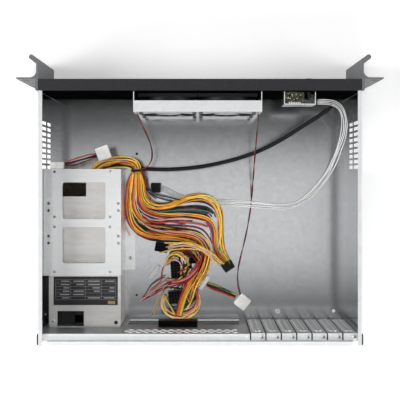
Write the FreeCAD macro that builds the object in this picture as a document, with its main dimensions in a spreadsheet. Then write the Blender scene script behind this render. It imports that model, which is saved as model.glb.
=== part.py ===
"""Short-depth 3U rackmount server case, lid off, with its power supply and front fans fitted.

Frame: millimetres, +Z up, the front faces -Y, origin under the middle of the case.
Every size is a cell of the sheet; every place is an expression of those cells.
"""
import FreeCAD, Part
import math
import os
import re

import Sketcher
from FreeCAD import Placement, Rotation, Vector

doc = FreeCAD.newDocument("ServerCase")
sheet = doc.addObject("Spreadsheet::Sheet", "Dims")

# ---------------------------------------------------------------- driving sizes
SIZES = {
    # overall
    "ear_span": 482.6,
    "case_height": 132.5,
    "body_depth": 335.7,
    "panel_depth": 15.2,
    "handle_reach": 32.2,
    # folded chassis sheet
    "body_width": 430.0,
    "sheet_gauge": 1.0,
    "wall_short": 1.5,
    "ledge_drop": 13.0,
    "lid_step": 2.3,
    "lid_lip": 5.2,
    "seam_gap": 0.3,
    # side wall vents
    "vent_first": 39.75,
    "vent_pitch": 7.55,
    "vent_slot": 4.5,
    "vent_low": 18.0,
    "vent_low_top": 50.0,
    "vent_high": 56.0,
    "vent_high_top": 100.0,
    "wall_hole": 4.0,
    "wall_hole_level": 64.0,
    "wall_hole_front": 30.5,
    "wall_hole_rear": 31.2,
    "floor_hole": 4.6,
    "floor_hole_in": 92.2,
    "floor_hole_front": 80.0,
    "floor_hole_rear": 50.0,
    # front bezel
    "bezel_width": 424.6,
    "bezel_face": 3.0,
    "bezel_wall": 1.6,
    "window_side": 77.0,
    "window_corner": 5.0,
    "grille_gauge": 1.0,
    "grille_margin": 1.5,
    "grille_cell": 10.0,
    "grille_bar": 2.2,
    # rack ears with handles
    "ear_gauge": 2.0,
    "ear_fin": 2.3,
    "ear_fin_in": 212.8,
    "ear_leg": 3.4,
    "ear_leg_depth": 14.9,
    "ear_fillet": 8.5,
    "hook_thick": 6.5,
    "hook_run": 10.8,
    "hook_angle": 37.0,
    "hook_round": 2.8,
    "rack_pitch": 465.1,
    "rack_spacing": 88.9,
    "rack_slot_long": 10.0,
    "rack_slot_high": 6.8,
    # rear panel
    "rear_setback": 14.8,
    "shelf_drop": 6.5,
    "rim_back": 4.85,
    "rim_half": 201.0,
    "io_width": 158.75,
    "io_height": 44.45,
    "io_middle": 23.0,
    "io_level": 6.0,
    "rear_vent_cell": 7.2,
    "rear_vent_pitch": 10.8,
    "rear_vent_drop": 30.5,
    "rear_vent_rows": 3.0,
    # expansion slots
    "slot_pitch": 20.32,
    "slot_first": 76.9,
    "cover_width": 18.4,
    "cover_gauge": 0.86,
    "cover_foot": 5.0,
    "cover_foot_width": 10.2,
    "cover_taper": 7.0,
    "cover_tab": 8.6,
    "slot_open": 13.0,
    "slot_open_foot": 14.0,
    "slot_head_drop": 12.5,
    "cover_notch": 4.2,
    "screw_head": 5.6,
    "screw_head_high": 2.0,
    # shared by the rear pieces
    "rear_vent_rise": 9.4,
    "board_edge": 12.2,
    "cover_toe": 3.0,
    "slot_screw_aside": 5.3,
    "slot_screw_in": 3.9,
    "screw_thread": 3.0,
    "screw_reach": 4.0,
    "screw_fit": 0.05,
    "wall_screw_high": 0.9,
    # fans
    "fan_side": 80.0,
    "fan_deep": 25.0,
    "fan_level": 65.0,
    "fan_left": 43.5,
    "fan_right": -37.0,
    "fan_bore": 76.0,
    "fan_barrel_in": 1.0,
    "fan_flange": 4.5,
    "fan_hole": 4.3,
    "fan_hole_share": 0.894,
    "fan_hub": 34.0,
    "fan_hub_deep": 17.0,
    "fan_mount_rim": 2.0,
    "fan_mount_deep": 3.0,
    "fan_strut": 4.0,
    "fan_tip_gap": 1.2,
    "blade_gauge": 1.2,
    "blade_share": 0.92,
    "blade_pitch_root": 52.0,
    "blade_pitch_tip": 32.0,
    "shaft": 3.0,
    "shaft_fit": 0.05,
    "end_float": 0.3,
    # fan bracket
    "bracket_gauge": 1.2,
    "bracket_left": 88.0,
    "bracket_right": 81.9,
    "bracket_short": 3.0,
    "bracket_lip": 15.0,
    "bracket_foot": 12.0,
    # drive tray
    "tray_gauge": 1.2,
    "tray_level": 83.5,
    "tray_inner": 107.9,
    "tray_front": 41.3,
    "tray_long": 145.7,
    "tray_foot": 13.7,
    "tray_hang": 27.0,
    "tray_window_left": 187.8,
    "tray_window_right": 129.2,
    "window_front": 18.3,
    "window_front_long": 50.0,
    "window_rear": 79.2,
    "window_rear_long": 49.5,
    "tray_corner": 3.5,
    "tray_hole_front": 5.3,
    "tray_hole_rear": 122.5,
    "tray_foot_hole": 128.8,
    "leg_hole_drop": 8.0,
    "drive_hole": 3.6,
    "big_drive_span": 95.25,
    "big_drive_middle": 159.1,
    "big_drive_first": 47.0,
    "big_drive_step": 9.7,
    "big_drive_row": 44.45,
    "small_drive_span": 76.0,
    "small_drive_middle": 160.8,
    "small_drive_first": 3.7,
    "small_drive_row": 61.6,
    "small_drive_pair": 13.6,
    # power supply
    "psu_wide": 98.9,
    "psu_high": 71.0,
    "psu_long": 201.0,
    "psu_side": 109.3,
    "psu_sheet": 1.0,
    "psu_notch_wide": 36.5,
    "psu_notch_long": 20.7,
    "psu_rear_notch": 160.1,
    "psu_front_notch": 157.0,
    "psu_cover_short": 1.6,
    "psu_window_edge": 4.0,
    "psu_fan_side": 60.0,
    "psu_fan_deep": 20.0,
    "psu_fan_bore": 57.0,
    "psu_fan_hub": 26.0,
    "psu_fan_hub_deep": 13.0,
    "psu_fan_middle": 142.3,
    "psu_fan_level": 36.5,
    "psu_guard_gauge": 0.9,
    "psu_guard_short": 3.0,
    "lead_middle": 150.0,
    "lead_level": 50.0,
    "lead_hole_gap": 0.4,
    "board_stand": 5.0,
    "board_gauge": 1.6,
    "board_margin": 2.0,
    "board_post": 5.0,
    "sink_aside": 16.0,
    "sink_gauge": 3.0,
    "sink_fin": 6.0,
    "sink_front": 22.0,
    "sink_long": 110.0,
    "sink_high": 48.0,
    "coil_side": 30.0,
    "coil_high": 32.0,
    "capacitor": 18.0,
    "capacitor_high": 30.0,
    "inlet_gap": 1.7,
    "inlet_level": 50.0,
    "inlet_fit": 0.2,
    "inlet_wall": 2.0,
    "inlet_rim_high": 2.0,
    "inlet_pin_step": 7.0,
    "inlet_pin_wide": 2.0,
    "inlet_pin_lift": 4.0,
    "inlet_pin_back": 6.0,
    "rocker_level": 22.0,
    "rocker_frame_wall": 1.5,
    "rocker_deep": 12.0,
    "rocker_body": 5.0,
    "rocker_dip": 3.6,
    "rocker_middle": 2.2,
    "rocker_clear": 1.0,
    "rocker_side_gap": 0.6,
    "rocker_swing": 18.0,
    "rocker_pivot": -0.6,
    "psu_guard_wire": 2.0,
    "inlet_wide": 27.0,
    "inlet_high": 20.0,
    "inlet_deep": 22.0,
    "inlet_flange": 3.0,
    "rocker_wide": 13.0,
    "rocker_high": 19.0,
    # front sockets and buttons
    "port_left": 111.0,
    "port_right": 153.0,
    "port_deep": 17.0,
    "port_drop": 6.0,
    "port_board_wide": 24.5,
    "power_size": 11.0,
    "reset_size": 4.0,
    "button_travel": 1.5,
    "button_fit": 0.25,
    "button_proud": 2.0,
    "usb_wide": 13.1,
    "lamp_size": 3.0,
    "lamp_pitch": 10.0,
    "lamp_drop": 33.0,
    "lamp_proud": 0.6,
    "usb_middle": -121.6,
    "usb_stack": 15.6,
    "usb_gap": 0.3,
    "usb_proud": 0.4,
    "usb_wall": 0.9,
    "usb_bay_deep": 13.0,
    "usb_tongue": 1.8,
    "usb_tongue_back": 4.8,
    "board_drop": 21.6,
    "port_gauge": 1.2,
    "port_high": 38.0,
    "header_in": 3.0,
    "header_long": 12.7,
    "header_wide": 2.5,
    "header_back": 1.0,
    "header_high": 2.5,
    "pin_side": 0.7,
    "pin_high": 6.0,
    "button_middle": -144.6,
    "power_drop": 13.0,
    "reset_drop": 30.0,
    "button_deep": 7.0,
    "button_rim": 1.5,
    "rim_gap": 0.4,
    "rim_deep": 1.5,
    "switch_size": 7.0,
    "switch_back": 8.0,
    # standoffs
    "standoff": 6.0,
    "standoff_high": 6.5,
    "standoff_in": 112.8,
    "standoff_deep": 5.0,
    "standoff_thread": 3.0,
    "boss_in": 194.2,
    "boss": 10.0,
    "boss_high": 3.0,
    # corner strips
    "strip_wide": 2.0,
    "strip_long": 13.8,
    "strip_back": 1.2,
    "strip_high": 12.8,
    # wiring
    "harness_across": 10.0,
    "board_loom": 6.0,
    "branch_loom": 5.0,
    "thin_loom": 4.5,
    "spare_loom": 3.5,
    "loop_loom": 4.0,
    "fan_cord": 2.6,
    "usb_cord": 5.5,
    "ribbon_loom": 6.0,
    "tie_back": 4.6,
    "tie_wide": 3.6,
    "tie_gauge": 1.4,
    "board_plug_wide": 54.6,
    "board_plug_deep": 9.6,
    "board_plug_high": 21.0,
    "cpu_plug_wide": 17.0,
    "cpu_plug_long": 12.0,
    "cpu_plug_high": 11.0,
    "sata_plug_wide": 19.0,
    "sata_plug_long": 14.0,
    "sata_plug_high": 10.0,
    "double_plug_long": 29.0,
    "mid_plug_long": 25.0,
    "low_plug_high": 7.0,
    "low_plug_long": 9.0,
    "drive_plug_wide": 19.0,
    "drive_plug_long": 18.0,
    "drive_plug_high": 9.5,
    "thin_plug_wide": 6.0,
    "thin_plug_long": 22.0,
    "thin_plug_high": 8.0,
}

# Places that several pieces share, worked out from the sizes above.
PLACES = {
    "rear_end": "(handle_reach + panel_depth + body_depth)/2",
    "bezel_rear": "(rear_end - body_depth)",
    "bezel_front": "(bezel_rear - panel_depth)",
    "half_body": "(body_width/2)",
    "wall_in": "(half_body - sheet_gauge)",
    "upper_out": "(half_body - lid_step)",
    "upper_in": "(upper_out - sheet_gauge)",
    "rear_face": "(rear_end - rear_setback)",
    "front_in": "(bezel_rear + sheet_gauge)",
    "fan_rear": "(front_in + seam_gap + fan_deep)",
    "plate_front": "(fan_rear + seam_gap)",
    "psu_top": "(sheet_gauge + psu_high)",
    "psu_rear": "(rear_face)",
    "psu_front": "(psu_rear - psu_long)",
    "psu_far": "(psu_side + psu_wide)",
    "wall_top": "(case_height - wall_short)",
    "lid_ledge": "(wall_top - ledge_drop)",
    "shelf_level": "(wall_top - shelf_drop)",
    "bracket_top": "(wall_top - bracket_short)",
    "slot_open_head": "(shelf_level - slot_head_drop)",
    "rear_vent_level": "(shelf_level - rear_vent_drop)",
    "port_level": "(wall_top - port_drop)",
    "board_level": "(port_level - board_drop)",
    "power_level": "(port_level - power_drop)",
    "reset_level": "(port_level - reset_drop)",
    "lamp_level": "(port_level - lamp_drop)",
    "inlet_middle": "(psu_fan_middle + psu_fan_side/2 + inlet_gap + inlet_wide/2)",
}


def cells(text):
    """The expression with every size and place in it replaced by its cell."""
    def look_up(match):
        word = match.group(0)
        if word in PLACES:
            return cells(PLACES[word])
        return f"Dims.{word}" if word in SIZES else word
    return re.sub(r"[a-z][a-z_]*", look_up, str(text))


def value(text):
    """The number that an expression of the sheet stands for."""
    found = sheet.evalExpression(cells(text))
    return float(getattr(found, "Value", found))


for row, (alias, size) in enumerate(SIZES.items(), start=1):
    sheet.set(f"A{row}", alias.replace("_", " "))
    sheet.set(f"B{row}", str(size))
    sheet.setAlias(f"B{row}", alias)
doc.recompute()


# ---------------------------------------------------------------- making shapes
ALONG = {
    "X": Rotation(Vector(0, 1, 0), 90),
    "Y": Rotation(Vector(1, 0, 0), -90),
    "Z": Rotation(),
}
PLANES = {"XY": "XY_Plane", "XZ": "XZ_Plane", "YZ": "YZ_Plane"}


def place(thing, x=0, y=0, z=0, turn=None):
    """Set a thing's place, each coordinate an expression."""
    thing.Placement = Placement(Vector(), turn or Rotation())
    for axis, text in zip("xyz", (x, y, z)):
        thing.setExpression(f"Placement.Base.{axis}", cells(text))
    return thing


def box(name, x, y, z, wide, deep, high):
    """A block from its low corner, X wide, Y deep and Z high."""
    block = doc.addObject("Part::Box", name)
    block.setExpression("Length", cells(wide))
    block.setExpression("Width", cells(deep))
    block.setExpression("Height", cells(high))
    return place(block, x, y, z)


def rod(name, x, y, z, across, long, axis="Z"):
    """A cylinder from the middle of its low end."""
    round_bar = doc.addObject("Part::Cylinder", name)
    round_bar.setExpression("Radius", cells(f"({across})/2"))
    round_bar.setExpression("Height", cells(long))
    return place(round_bar, x, y, z, ALONG[axis])


def hexagon(name, x, y, z, flats, long, axis="Y"):
    """A six-sided bar, flats across its flats."""
    bar = doc.addObject("Part::Prism", name)
    bar.Polygon = 6
    bar.setExpression("Circumradius", cells(f"({flats})/sqrt(3)"))
    bar.setExpression("Height", cells(long))
    return place(bar, x, y, z, ALONG[axis])


def eight(name, x, y, z, across, long, axis="Z"):
    """An eight-sided bar for small holes and shanks, across its flats."""
    bar = doc.addObject("Part::Prism", name)
    bar.Polygon = 8
    bar.setExpression("Circumradius", cells(f"({across})/2/cos(22.5*1deg)"))
    bar.setExpression("Height", cells(long))
    return place(bar, x, y, z, ALONG[axis])


def together(name, things):
    """Separate solids held as one shape."""
    group = doc.addObject("Part::Compound", name)
    group.Links = list(things)
    return group


def cut(name, base, *tools):
    """The base less every tool; the tools lie clear of each other."""
    result = doc.addObject("Part::Cut", name)
    result.Base = base
    result.Tool = tools[0] if len(tools) == 1 else together(f"{name}_tools", tools)
    return result


def fuse(name, *things):
    """One solid from things that touch or overlap."""
    result = doc.addObject("Part::MultiFuse", name)
    result.Shapes = list(things)
    result.Refine = True
    return result


def mirrored(name, source):
    """The source's other hand, across the case's middle."""
    copy = doc.addObject("Part::Mirroring", name)
    copy.Source = source
    copy.Normal = Vector(1, 0, 0)
    return copy


def outline(body, plane, corners, name):
    """A closed sketch on one of the body's own planes, each corner held by two expressions."""
    sketch = body.newObject("Sketcher::SketchObject", name)
    datum = [f for f in body.Origin.OriginFeatures if f.Role == PLANES[plane]][0]
    sketch.AttachmentSupport = [(datum, "")]
    sketch.MapMode = "FlatFace"
    spots = [Vector(value(a), value(b), 0) for a, b in corners]
    count = len(spots)
    for i, spot in enumerate(spots):
        sketch.addGeometry(Part.LineSegment(spot, spots[(i + 1) % count]), False)
    for i in range(count):
        sketch.addConstraint(Sketcher.Constraint("Coincident", i, 2, (i + 1) % count, 1))
    for i, (a, b) in enumerate(corners):
        for kind, text, number in (("DistanceX", a, spots[i].x), ("DistanceY", b, spots[i].y)):
            held = sketch.addConstraint(Sketcher.Constraint(kind, i, 1, number))
            sketch.setExpression(f"Constraints[{held}]", cells(text))
    return sketch


def pad(name, plane, corners, long, x=0, y=0, z=0):
    """A body whose outline is padded, along +X for YZ, +Y for XZ and +Z for XY."""
    body = doc.addObject("PartDesign::Body", name)
    sketch = outline(body, plane, corners, f"{name}_outline")
    feature = body.newObject("PartDesign::Pad", f"{name}_pad")
    feature.Profile = sketch
    feature.setExpression("Length", cells(long))
    feature.Reversed = plane == "XZ"
    sketch.Visibility = False
    return place(body, x, y, z)


def rounded(body, spots, radius, axis="Z"):
    """Fillet the body's edges that run along the axis through the given spots of its outline."""
    doc.recompute()
    across = {"X": ("y", "z"), "Y": ("x", "z"), "Z": ("x", "y")}[axis]
    way = Vector(axis == "X", axis == "Y", axis == "Z")
    tip = body.Tip
    origin = body.Placement.Base
    names = []
    for number, edge in enumerate(tip.Shape.Edges, start=1):
        ends = [vertex.Point for vertex in edge.Vertexes]
        if len(ends) != 2 or ends[1].sub(ends[0]).cross(way).Length > 1e-6:
            continue
        for a, b in spots:
            gap = [getattr(ends[0], k) - value(text) for k, text in zip(across, (a, b))]
            if math.hypot(*gap) < 0.01:
                names.append(f"Edge{number}")
    fillet = body.newObject("PartDesign::Fillet", f"{body.Name}_round")
    fillet.Base = (tip, names)
    fillet.setExpression("Radius", cells(radius))
    return body


def soft_block(name, x, y, z, wide, deep, high, radius, axis="Z"):
    """A block from its low corner whose four edges along the axis are rounded."""
    plane, first, second, long = {
        "Z": ("XY", wide, deep, high),
        "Y": ("XZ", wide, high, deep),
        "X": ("YZ", deep, high, wide),
    }[axis]
    corners = [(0, 0), (first, 0), (first, second), (0, second)]
    return rounded(pad(name, plane, corners, long, x, y, z), corners, radius, axis)


def slotted(name, x, y, z, long, high, deep):
    """A round-ended slot along X, from its middle on the near face, running along +Y."""
    ends = [
        rod(f"{name}_end{side}", f"{x} {sign} ({long} - {high})/2", y, z, high, deep, "Y")
        for side, sign in enumerate("-+")
    ]
    middle = box(f"{name}_middle", f"{x} - ({long} - {high})/2", y, f"{z} - ({high})/2",
                 f"{long} - {high}", deep, high)
    return fuse(name, middle, *ends)


NODES = {}


def node(name, thing):
    """Name a finished sub-part; its label is its file's name."""
    thing.Label = name
    NODES[name] = thing
    return thing


# ---------------------------------------------------------------- folded chassis
def chassis_tray():
    """Floor and both side walls, one sheet, stepped in at the top for the lid's skirt."""
    side = [
        ("half_body", "0"),
        ("half_body", "lid_ledge"),
        ("upper_out", "lid_ledge"),
        ("upper_out", "wall_top"),
        ("upper_out - lid_lip", "wall_top"),
        ("upper_out - lid_lip", "wall_top - sheet_gauge"),
        ("upper_in", "wall_top - sheet_gauge"),
        ("upper_in", "lid_ledge - sheet_gauge"),
        ("wall_in", "lid_ledge - sheet_gauge"),
        ("wall_in", "sheet_gauge"),
    ]
    other = [(f"-({x})", z) for x, z in reversed(side)]
    trough = pad("chassis_fold", "XZ", side + other, "body_depth", y="bezel_rear")
    across = "body_width + 2*lid_step"
    left = "-(half_body + lid_step)"
    boss = rod("floor_boss", "-boss_in", "rear_face - board_edge", "0", "boss", "boss_high")
    trough = fuse("chassis_blank", trough, boss)
    tools = []
    for row in ("vent_low", "vent_high"):
        for i in range(9):
            y = f"bezel_rear + vent_first + {i}*vent_pitch - vent_slot/2"
            tools.append(box(f"{row}_{i}", left, y, row, across, "vent_slot", f"{row}_top - {row}"))
    for i, y in enumerate(WALL_HOLES):
        tools.append(eight(f"wall_hole_{i}", left, y, "wall_hole_level", "wall_hole", across, "X"))
    for i, (x, y) in enumerate(FLOOR_HOLES):
        tools.append(eight(f"floor_hole_{i}", x, y, "-sheet_gauge", "floor_hole", "boss_high + 3*sheet_gauge"))
    node("chassis_tray", cut("chassis_sheet", trough, *tools))


WALL_HOLES = [
    "bezel_rear + wall_hole_front",
    "tray_hole_front - tray_front",
    "tray_hole_rear - tray_front",
    "rear_end - wall_hole_rear",
]
FLOOR_HOLES = [
    ("floor_hole_in", "bezel_rear + floor_hole_front"),
    ("floor_hole_in", "rear_end - floor_hole_rear"),
    ("-boss_in", "rear_face - board_edge"),
]


def board_standoff():
    """The one board standoff that is screwed in."""
    post = hexagon("standoff_hexagon", "-standoff_in", "rear_face - board_edge", "sheet_gauge",
                   "standoff", "standoff_high", "Z")
    bore = eight("standoff_bore", "-standoff_in", "rear_face - board_edge",
               "sheet_gauge + standoff_high - standoff_deep", "standoff_thread", "standoff_high")
    node("board_standoff", cut("standoff_body", post, bore))


# ---------------------------------------------------------------- front
def front_bezel():
    """Shallow pan across the front, with a window before each fan and holes for the sockets."""
    shell = box("bezel_outside", "-bezel_width/2", "bezel_front", "0", "bezel_width",
                "panel_depth", "case_height")
    hollow = box("bezel_hollow", "-bezel_width/2 + bezel_wall", "bezel_front + bezel_face",
                 "bezel_wall", "bezel_width - 2*bezel_wall", "panel_depth",
                 "case_height - 2*bezel_wall")
    low = "bezel_front - bezel_face"
    tools = [
        soft_block(f"bezel_window_{side}", f"{side} - window_side/2", low,
                   "fan_level - window_side/2", "window_side", "3*bezel_face", "window_side",
                   "window_corner", "Y")
        for side in ("fan_left", "fan_right")
    ]
    tools.append(box("bezel_usb", "usb_middle - usb_wide/2 - usb_gap", low,
                     "board_level + board_gauge - usb_gap", "usb_wide + 2*usb_gap",
                     "3*bezel_face", "usb_stack + 2*usb_gap"))
    for name in ("power", "reset"):
        tools.append(rod(f"bezel_{name}", "button_middle", low, f"{name}_level",
                         f"{name}_size + 2*button_fit", "3*bezel_face", "Y"))
    for i in range(2):
        tools.append(eight(f"bezel_lamp_{i}", LAMP_X[i], low, "lamp_level",
                         "lamp_size", "3*bezel_face", "Y"))
    pan = cut("bezel_pan", shell, hollow)
    node("front_bezel", cut("bezel_body", pan, *tools))


LAMP_X = ["usb_middle - lamp_pitch/2", "usb_middle + lamp_pitch/2"]


def front_grille():
    """Perforated steel plate behind both windows, its six-sided holes in staggered rows."""
    margin = "window_side/2 + grille_margin"
    plate = box("grille_plate", f"fan_right - {margin}", "bezel_front + bezel_face",
                f"fan_level - {margin}", f"fan_left - fan_right + 2*({margin})", "grille_gauge",
                f"2*({margin})")
    pitch = value("grille_cell + grille_bar")
    rise = pitch * math.sqrt(3) / 2
    half = value("window_side/2 - grille_cell/2")
    tools = []
    for side in ("fan_left", "fan_right"):
        for row in range(-int(half / rise), int(half / rise) + 1):
            shift = (row % 2) / 2
            for column in range(-int(half / pitch) - 1, int(half / pitch) + 1):
                across = (column + shift) * pitch
                if math.hypot(across, row * rise) > value("fan_bore/2") or abs(across) > half:
                    continue
                x = f"{side} + ({column} + {shift})*(grille_cell + grille_bar)"
                z = f"fan_level + ({row})*(grille_cell + grille_bar)*sqrt(3)/2"
                tools.append(hexagon(f"{side}_cell", x, "bezel_front", z, "grille_cell",
                                     "bezel_face + 3*grille_gauge"))
    node("front_grille", cut("grille_body", plate, *tools))


def front_wall():
    """Inner sheet between bezel and fans, with a round opening and four screw holes a fan."""
    sheet_body = box("front_sheet", "-(upper_in - seam_gap)", "bezel_rear", "sheet_gauge",
                     "2*(upper_in - seam_gap)", "sheet_gauge", "wall_top - 2*sheet_gauge")
    low = "bezel_rear - sheet_gauge"
    tools = []
    for side in ("fan_left", "fan_right"):
        tools.append(rod(f"{side}_inlet", side, low, "fan_level", "fan_bore", "3*sheet_gauge", "Y"))
    tools.append(box("front_usb", "usb_middle - usb_wide/2 - usb_gap", low,
                     "board_level - usb_gap", "usb_wide + 2*usb_gap", "3*sheet_gauge",
                     "usb_stack + board_gauge + 2*usb_gap"))
    for name in ("power", "reset"):
        tools.append(rod(f"front_{name}", "button_middle", low, f"{name}_level",
                         "switch_size + 2*button_fit", "3*sheet_gauge", "Y"))
    node("front_wall", cut("front_sheet_cut", sheet_body, *tools))


def ears():
    """Rack ear, fin and hooked grip in one extrusion the height of the case, and its mirror."""
    fin_in = "ear_fin_in"
    fin_out = "(ear_fin_in + ear_fin)"
    tip = "ear_span/2"
    face = "(bezel_front - ear_gauge)"
    low_x = f"({fin_out} + hook_run - hook_thick*sin(hook_angle*1deg))"
    reach = "hook_round*(cos(hook_angle*1deg) + sin(hook_angle*1deg) - 1)"
    low_y = f"(-rear_end - {reach})"
    high_y = f"({low_y} + hook_thick*cos(hook_angle*1deg))"
    corners = [
        (tip, "bezel_front"),
        (f"{fin_in} + ear_leg", "bezel_front"),
        (f"{fin_in} + ear_leg", "bezel_front + ear_leg_depth"),
        (fin_in, "bezel_front + ear_leg_depth"),
        (fin_in, f"{low_y} + ({low_x} - {fin_in})*tan(hook_angle*1deg)"),
        (low_x, low_y),
        (f"{fin_out} + hook_run", high_y),
        (fin_out, f"{high_y} + hook_run*tan(hook_angle*1deg)"),
        (fin_out, face),
        (tip, face),
    ]
    profile = pad("ear_profile", "XY", corners, "case_height")
    rounded(profile, [corners[5], corners[6]], "hook_round")
    rounded(profile, [corners[8]], "ear_fillet")
    tools = [
        slotted(f"rack_slot_{i}", "rack_pitch/2", "bezel_front - 2*ear_gauge",
                f"case_height/2 {sign} rack_spacing/2", "rack_slot_long", "rack_slot_high",
                "3*ear_gauge")
        for i, sign in enumerate("-+")
    ]
    left = node("ear_handle_left", cut("ear_body", profile, *tools))
    node("ear_handle_right", mirrored("ear_mirror", left))


# ---------------------------------------------------------------- rear
SLOTS = 7


def slot_middle(i):
    """Where expansion slot i is, counted from the middle of the case; -1 is the spare hole."""
    return f"-(slot_first + ({i})*slot_pitch)"


def rear_panel():
    """Rear wall with its screw shelf and rim in one fold, pierced for all that shows behind."""
    half = "(upper_in - seam_gap)"
    inner = "rear_end - rim_back - sheet_gauge"
    corners = [
        ("rear_face", "sheet_gauge"),
        ("rear_face + sheet_gauge", "sheet_gauge"),
        ("rear_face + sheet_gauge", "shelf_level - sheet_gauge"),
        ("rear_end - rim_back", "shelf_level - sheet_gauge"),
        ("rear_end - rim_back", "wall_top - sheet_gauge"),
        ("rear_end", "wall_top - sheet_gauge"),
        ("rear_end", "wall_top"),
        (inner, "wall_top"),
        (inner, "shelf_level"),
        ("rear_face", "shelf_level"),
    ]
    fold = pad("rear_fold", "YZ", corners, f"2*{half}", x=f"-{half}")
    wings = box("rear_wings", "-(wall_in - seam_gap)", "rear_face", "sheet_gauge",
                "2*(wall_in - seam_gap)", "sheet_gauge", "lid_ledge - 2*sheet_gauge - seam_gap")
    ends = [
        box(f"rim_end_{i}", x, f"{inner} - sheet_gauge", "shelf_level", "half_body - rim_half",
            "rim_back + 3*sheet_gauge", "wall_top - shelf_level + sheet_gauge")
        for i, x in enumerate(("-half_body", "rim_half"))
    ]
    blank = fuse("rear_blank", cut("rear_rim", fold, *ends), wings)
    low, through = "rear_face - sheet_gauge", "3*sheet_gauge"
    tools = [
        box("psu_opening", "psu_side + psu_window_edge", low, "sheet_gauge + psu_window_edge",
            "psu_wide - 2*psu_window_edge", through, "psu_high - 2*psu_window_edge"),
        box("io_opening", "io_middle - io_width/2", low, "io_level", "io_width", through,
            "io_height"),
    ]
    for i in range(SLOTS):
        tools.append(box(f"slot_opening_{i}", f"{slot_middle(i)} - slot_open/2", low,
                         "slot_open_foot", "slot_open", through, "slot_open_head - slot_open_foot"))
    for i in range(-1, SLOTS):
        tools.append(eight(f"slot_hole_{i + 1}", f"{slot_middle(i)} - slot_screw_aside",
                         "rear_face + slot_screw_in", "shelf_level - 2*sheet_gauge",
                         "screw_thread", "3*sheet_gauge"))
    columns = int(value("(io_width - rear_vent_cell)/rear_vent_pitch"))
    for row in range(int(value("rear_vent_rows"))):
        for column in range(columns):
            x = f"io_middle + ({column} - {columns - 1}/2 + {row % 2}/2)*rear_vent_pitch"
            z = f"rear_vent_level + {row}*rear_vent_rise"
            tools.append(hexagon("rear_vent", x, low, z, "rear_vent_cell", through))
    node("rear_panel", cut("rear_sheet", blank, *tools))


def slot_covers():
    """Seven full-height blanking plates hung on the shelf, narrowed at the foot, one screw each."""
    wide, foot = "cover_width/2", "cover_foot_width/2"
    corners = [
        (f"-{foot}", "cover_foot"), (foot, "cover_foot"), (foot, "cover_foot + cover_toe"),
        (wide, "cover_foot + cover_taper"), (wide, "shelf_level + cover_gauge"),
        (f"-{wide}", "shelf_level + cover_gauge"), (f"-{wide}", "cover_foot + cover_taper"),
        (f"-{foot}", "cover_foot + cover_toe"),
    ]
    heads = []
    for i in range(SLOTS):
        x = slot_middle(i)
        screw_x, screw_y = f"{x} - slot_screw_aside", "rear_face + slot_screw_in"
        top = "shelf_level + cover_gauge"
        plate = pad(f"cover_plate_{i}", "XZ", corners, "cover_gauge", x=x,
                    y="rear_face - cover_gauge")
        tab = box(f"cover_tab_{i}", f"{x} - cover_width/2", "rear_face - cover_gauge",
                  "shelf_level", "cover_width", "cover_tab + cover_gauge", "cover_gauge")
        notch = box(f"cover_notch_{i}", f"{screw_x} - cover_notch/2", screw_y,
                    "shelf_level - cover_gauge", "cover_notch", "cover_tab", "3*cover_gauge")
        eye = rod(f"cover_eye_{i}", screw_x, screw_y, "shelf_level - cover_gauge",
                  "cover_notch", "3*cover_gauge")
        keyhole = fuse(f"cover_keyhole_{i}", notch, eye)
        whole = fuse(f"cover_blank_{i}", plate, tab)
        node(f"slot_cover_{i + 1}", cut(f"cover_body_{i}", whole, keyhole))
        heads.append(fuse(
            f"slot_screw_{i}",
            hexagon(f"slot_head_{i}", screw_x, screw_y, top, "screw_head", "screw_head_high", "Z"),
            eight(f"slot_shank_{i}", screw_x, screw_y, "shelf_level - screw_reach",
                "screw_thread - 2*screw_fit", "screw_reach + cover_gauge + screw_head_high/2")))
    node("slot_screws", together("slot_screw_set", heads))


# ---------------------------------------------------------------- fans
def fan(name, x, y_rear, z, size, holes="+-"):
    """Square axial fan blowing along Y: the frame, and the rotor that turns in it.

    size holds the fan's own cells, y_rear is the frame's rear face, and holes gives the sides
    of the middle that have screw holes.
    """
    side, deep, bore, hub = size["side"], size["deep"], size["bore"], size["hub"]
    front = f"({y_rear} - {deep})"
    flanges = [
        box(f"{name}_flange_{i}", f"{x} - {side}/2", y, f"{z} - {side}/2", side, "fan_flange", side)
        for i, y in enumerate((front, f"{y_rear} - fan_flange"))
    ]
    barrel = rod(f"{name}_barrel", x, front, z, f"{side} - fan_barrel_in", deep, "Y")
    ring = cut(
        f"{name}_ring",
        fuse(f"{name}_blank", barrel, *flanges),
        rod(f"{name}_bore", x, f"{front} - fan_flange", z, bore, f"{deep} + 2*fan_flange", "Y"),
        *[
            eight(f"{name}_hole_{a}{b}", f"{x} {a} {side}*fan_hole_share/2", f"{front} - fan_flange",
                f"{z} {b} {side}*fan_hole_share/2", "fan_hole", f"{deep} + 2*fan_flange", "Y")
            for a in holes for b in holes
        ],
    )
    seat = f"({y_rear} - fan_mount_deep)"
    mount = rod(f"{name}_mount", x, seat, z, f"{hub} + fan_mount_rim", "fan_mount_deep", "Y")
    struts = [
        box(f"{name}_strut_0", f"{x} - fan_strut/2", seat, f"{z} - {bore}/2 - fan_strut/4",
            "fan_strut", "fan_mount_deep", f"{bore} + fan_strut/2"),
        box(f"{name}_strut_1", f"{x} - {bore}/2 - fan_strut/4", seat, f"{z} - fan_strut/2",
            f"{bore} + fan_strut/2", "fan_mount_deep", "fan_strut"),
    ]
    socket = rod(f"{name}_socket", x, f"{seat} - end_float", z, "shaft + 2*shaft_fit",
                 "fan_mount_deep*2/3 + end_float", "Y")
    body = cut(f"{name}_frame_body", fuse(f"{name}_frame_blank", ring, mount, *struts), socket)
    node(f"{name}_frame", body)
    rotor(name, x, f"({seat} - end_float)", z, size)


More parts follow.
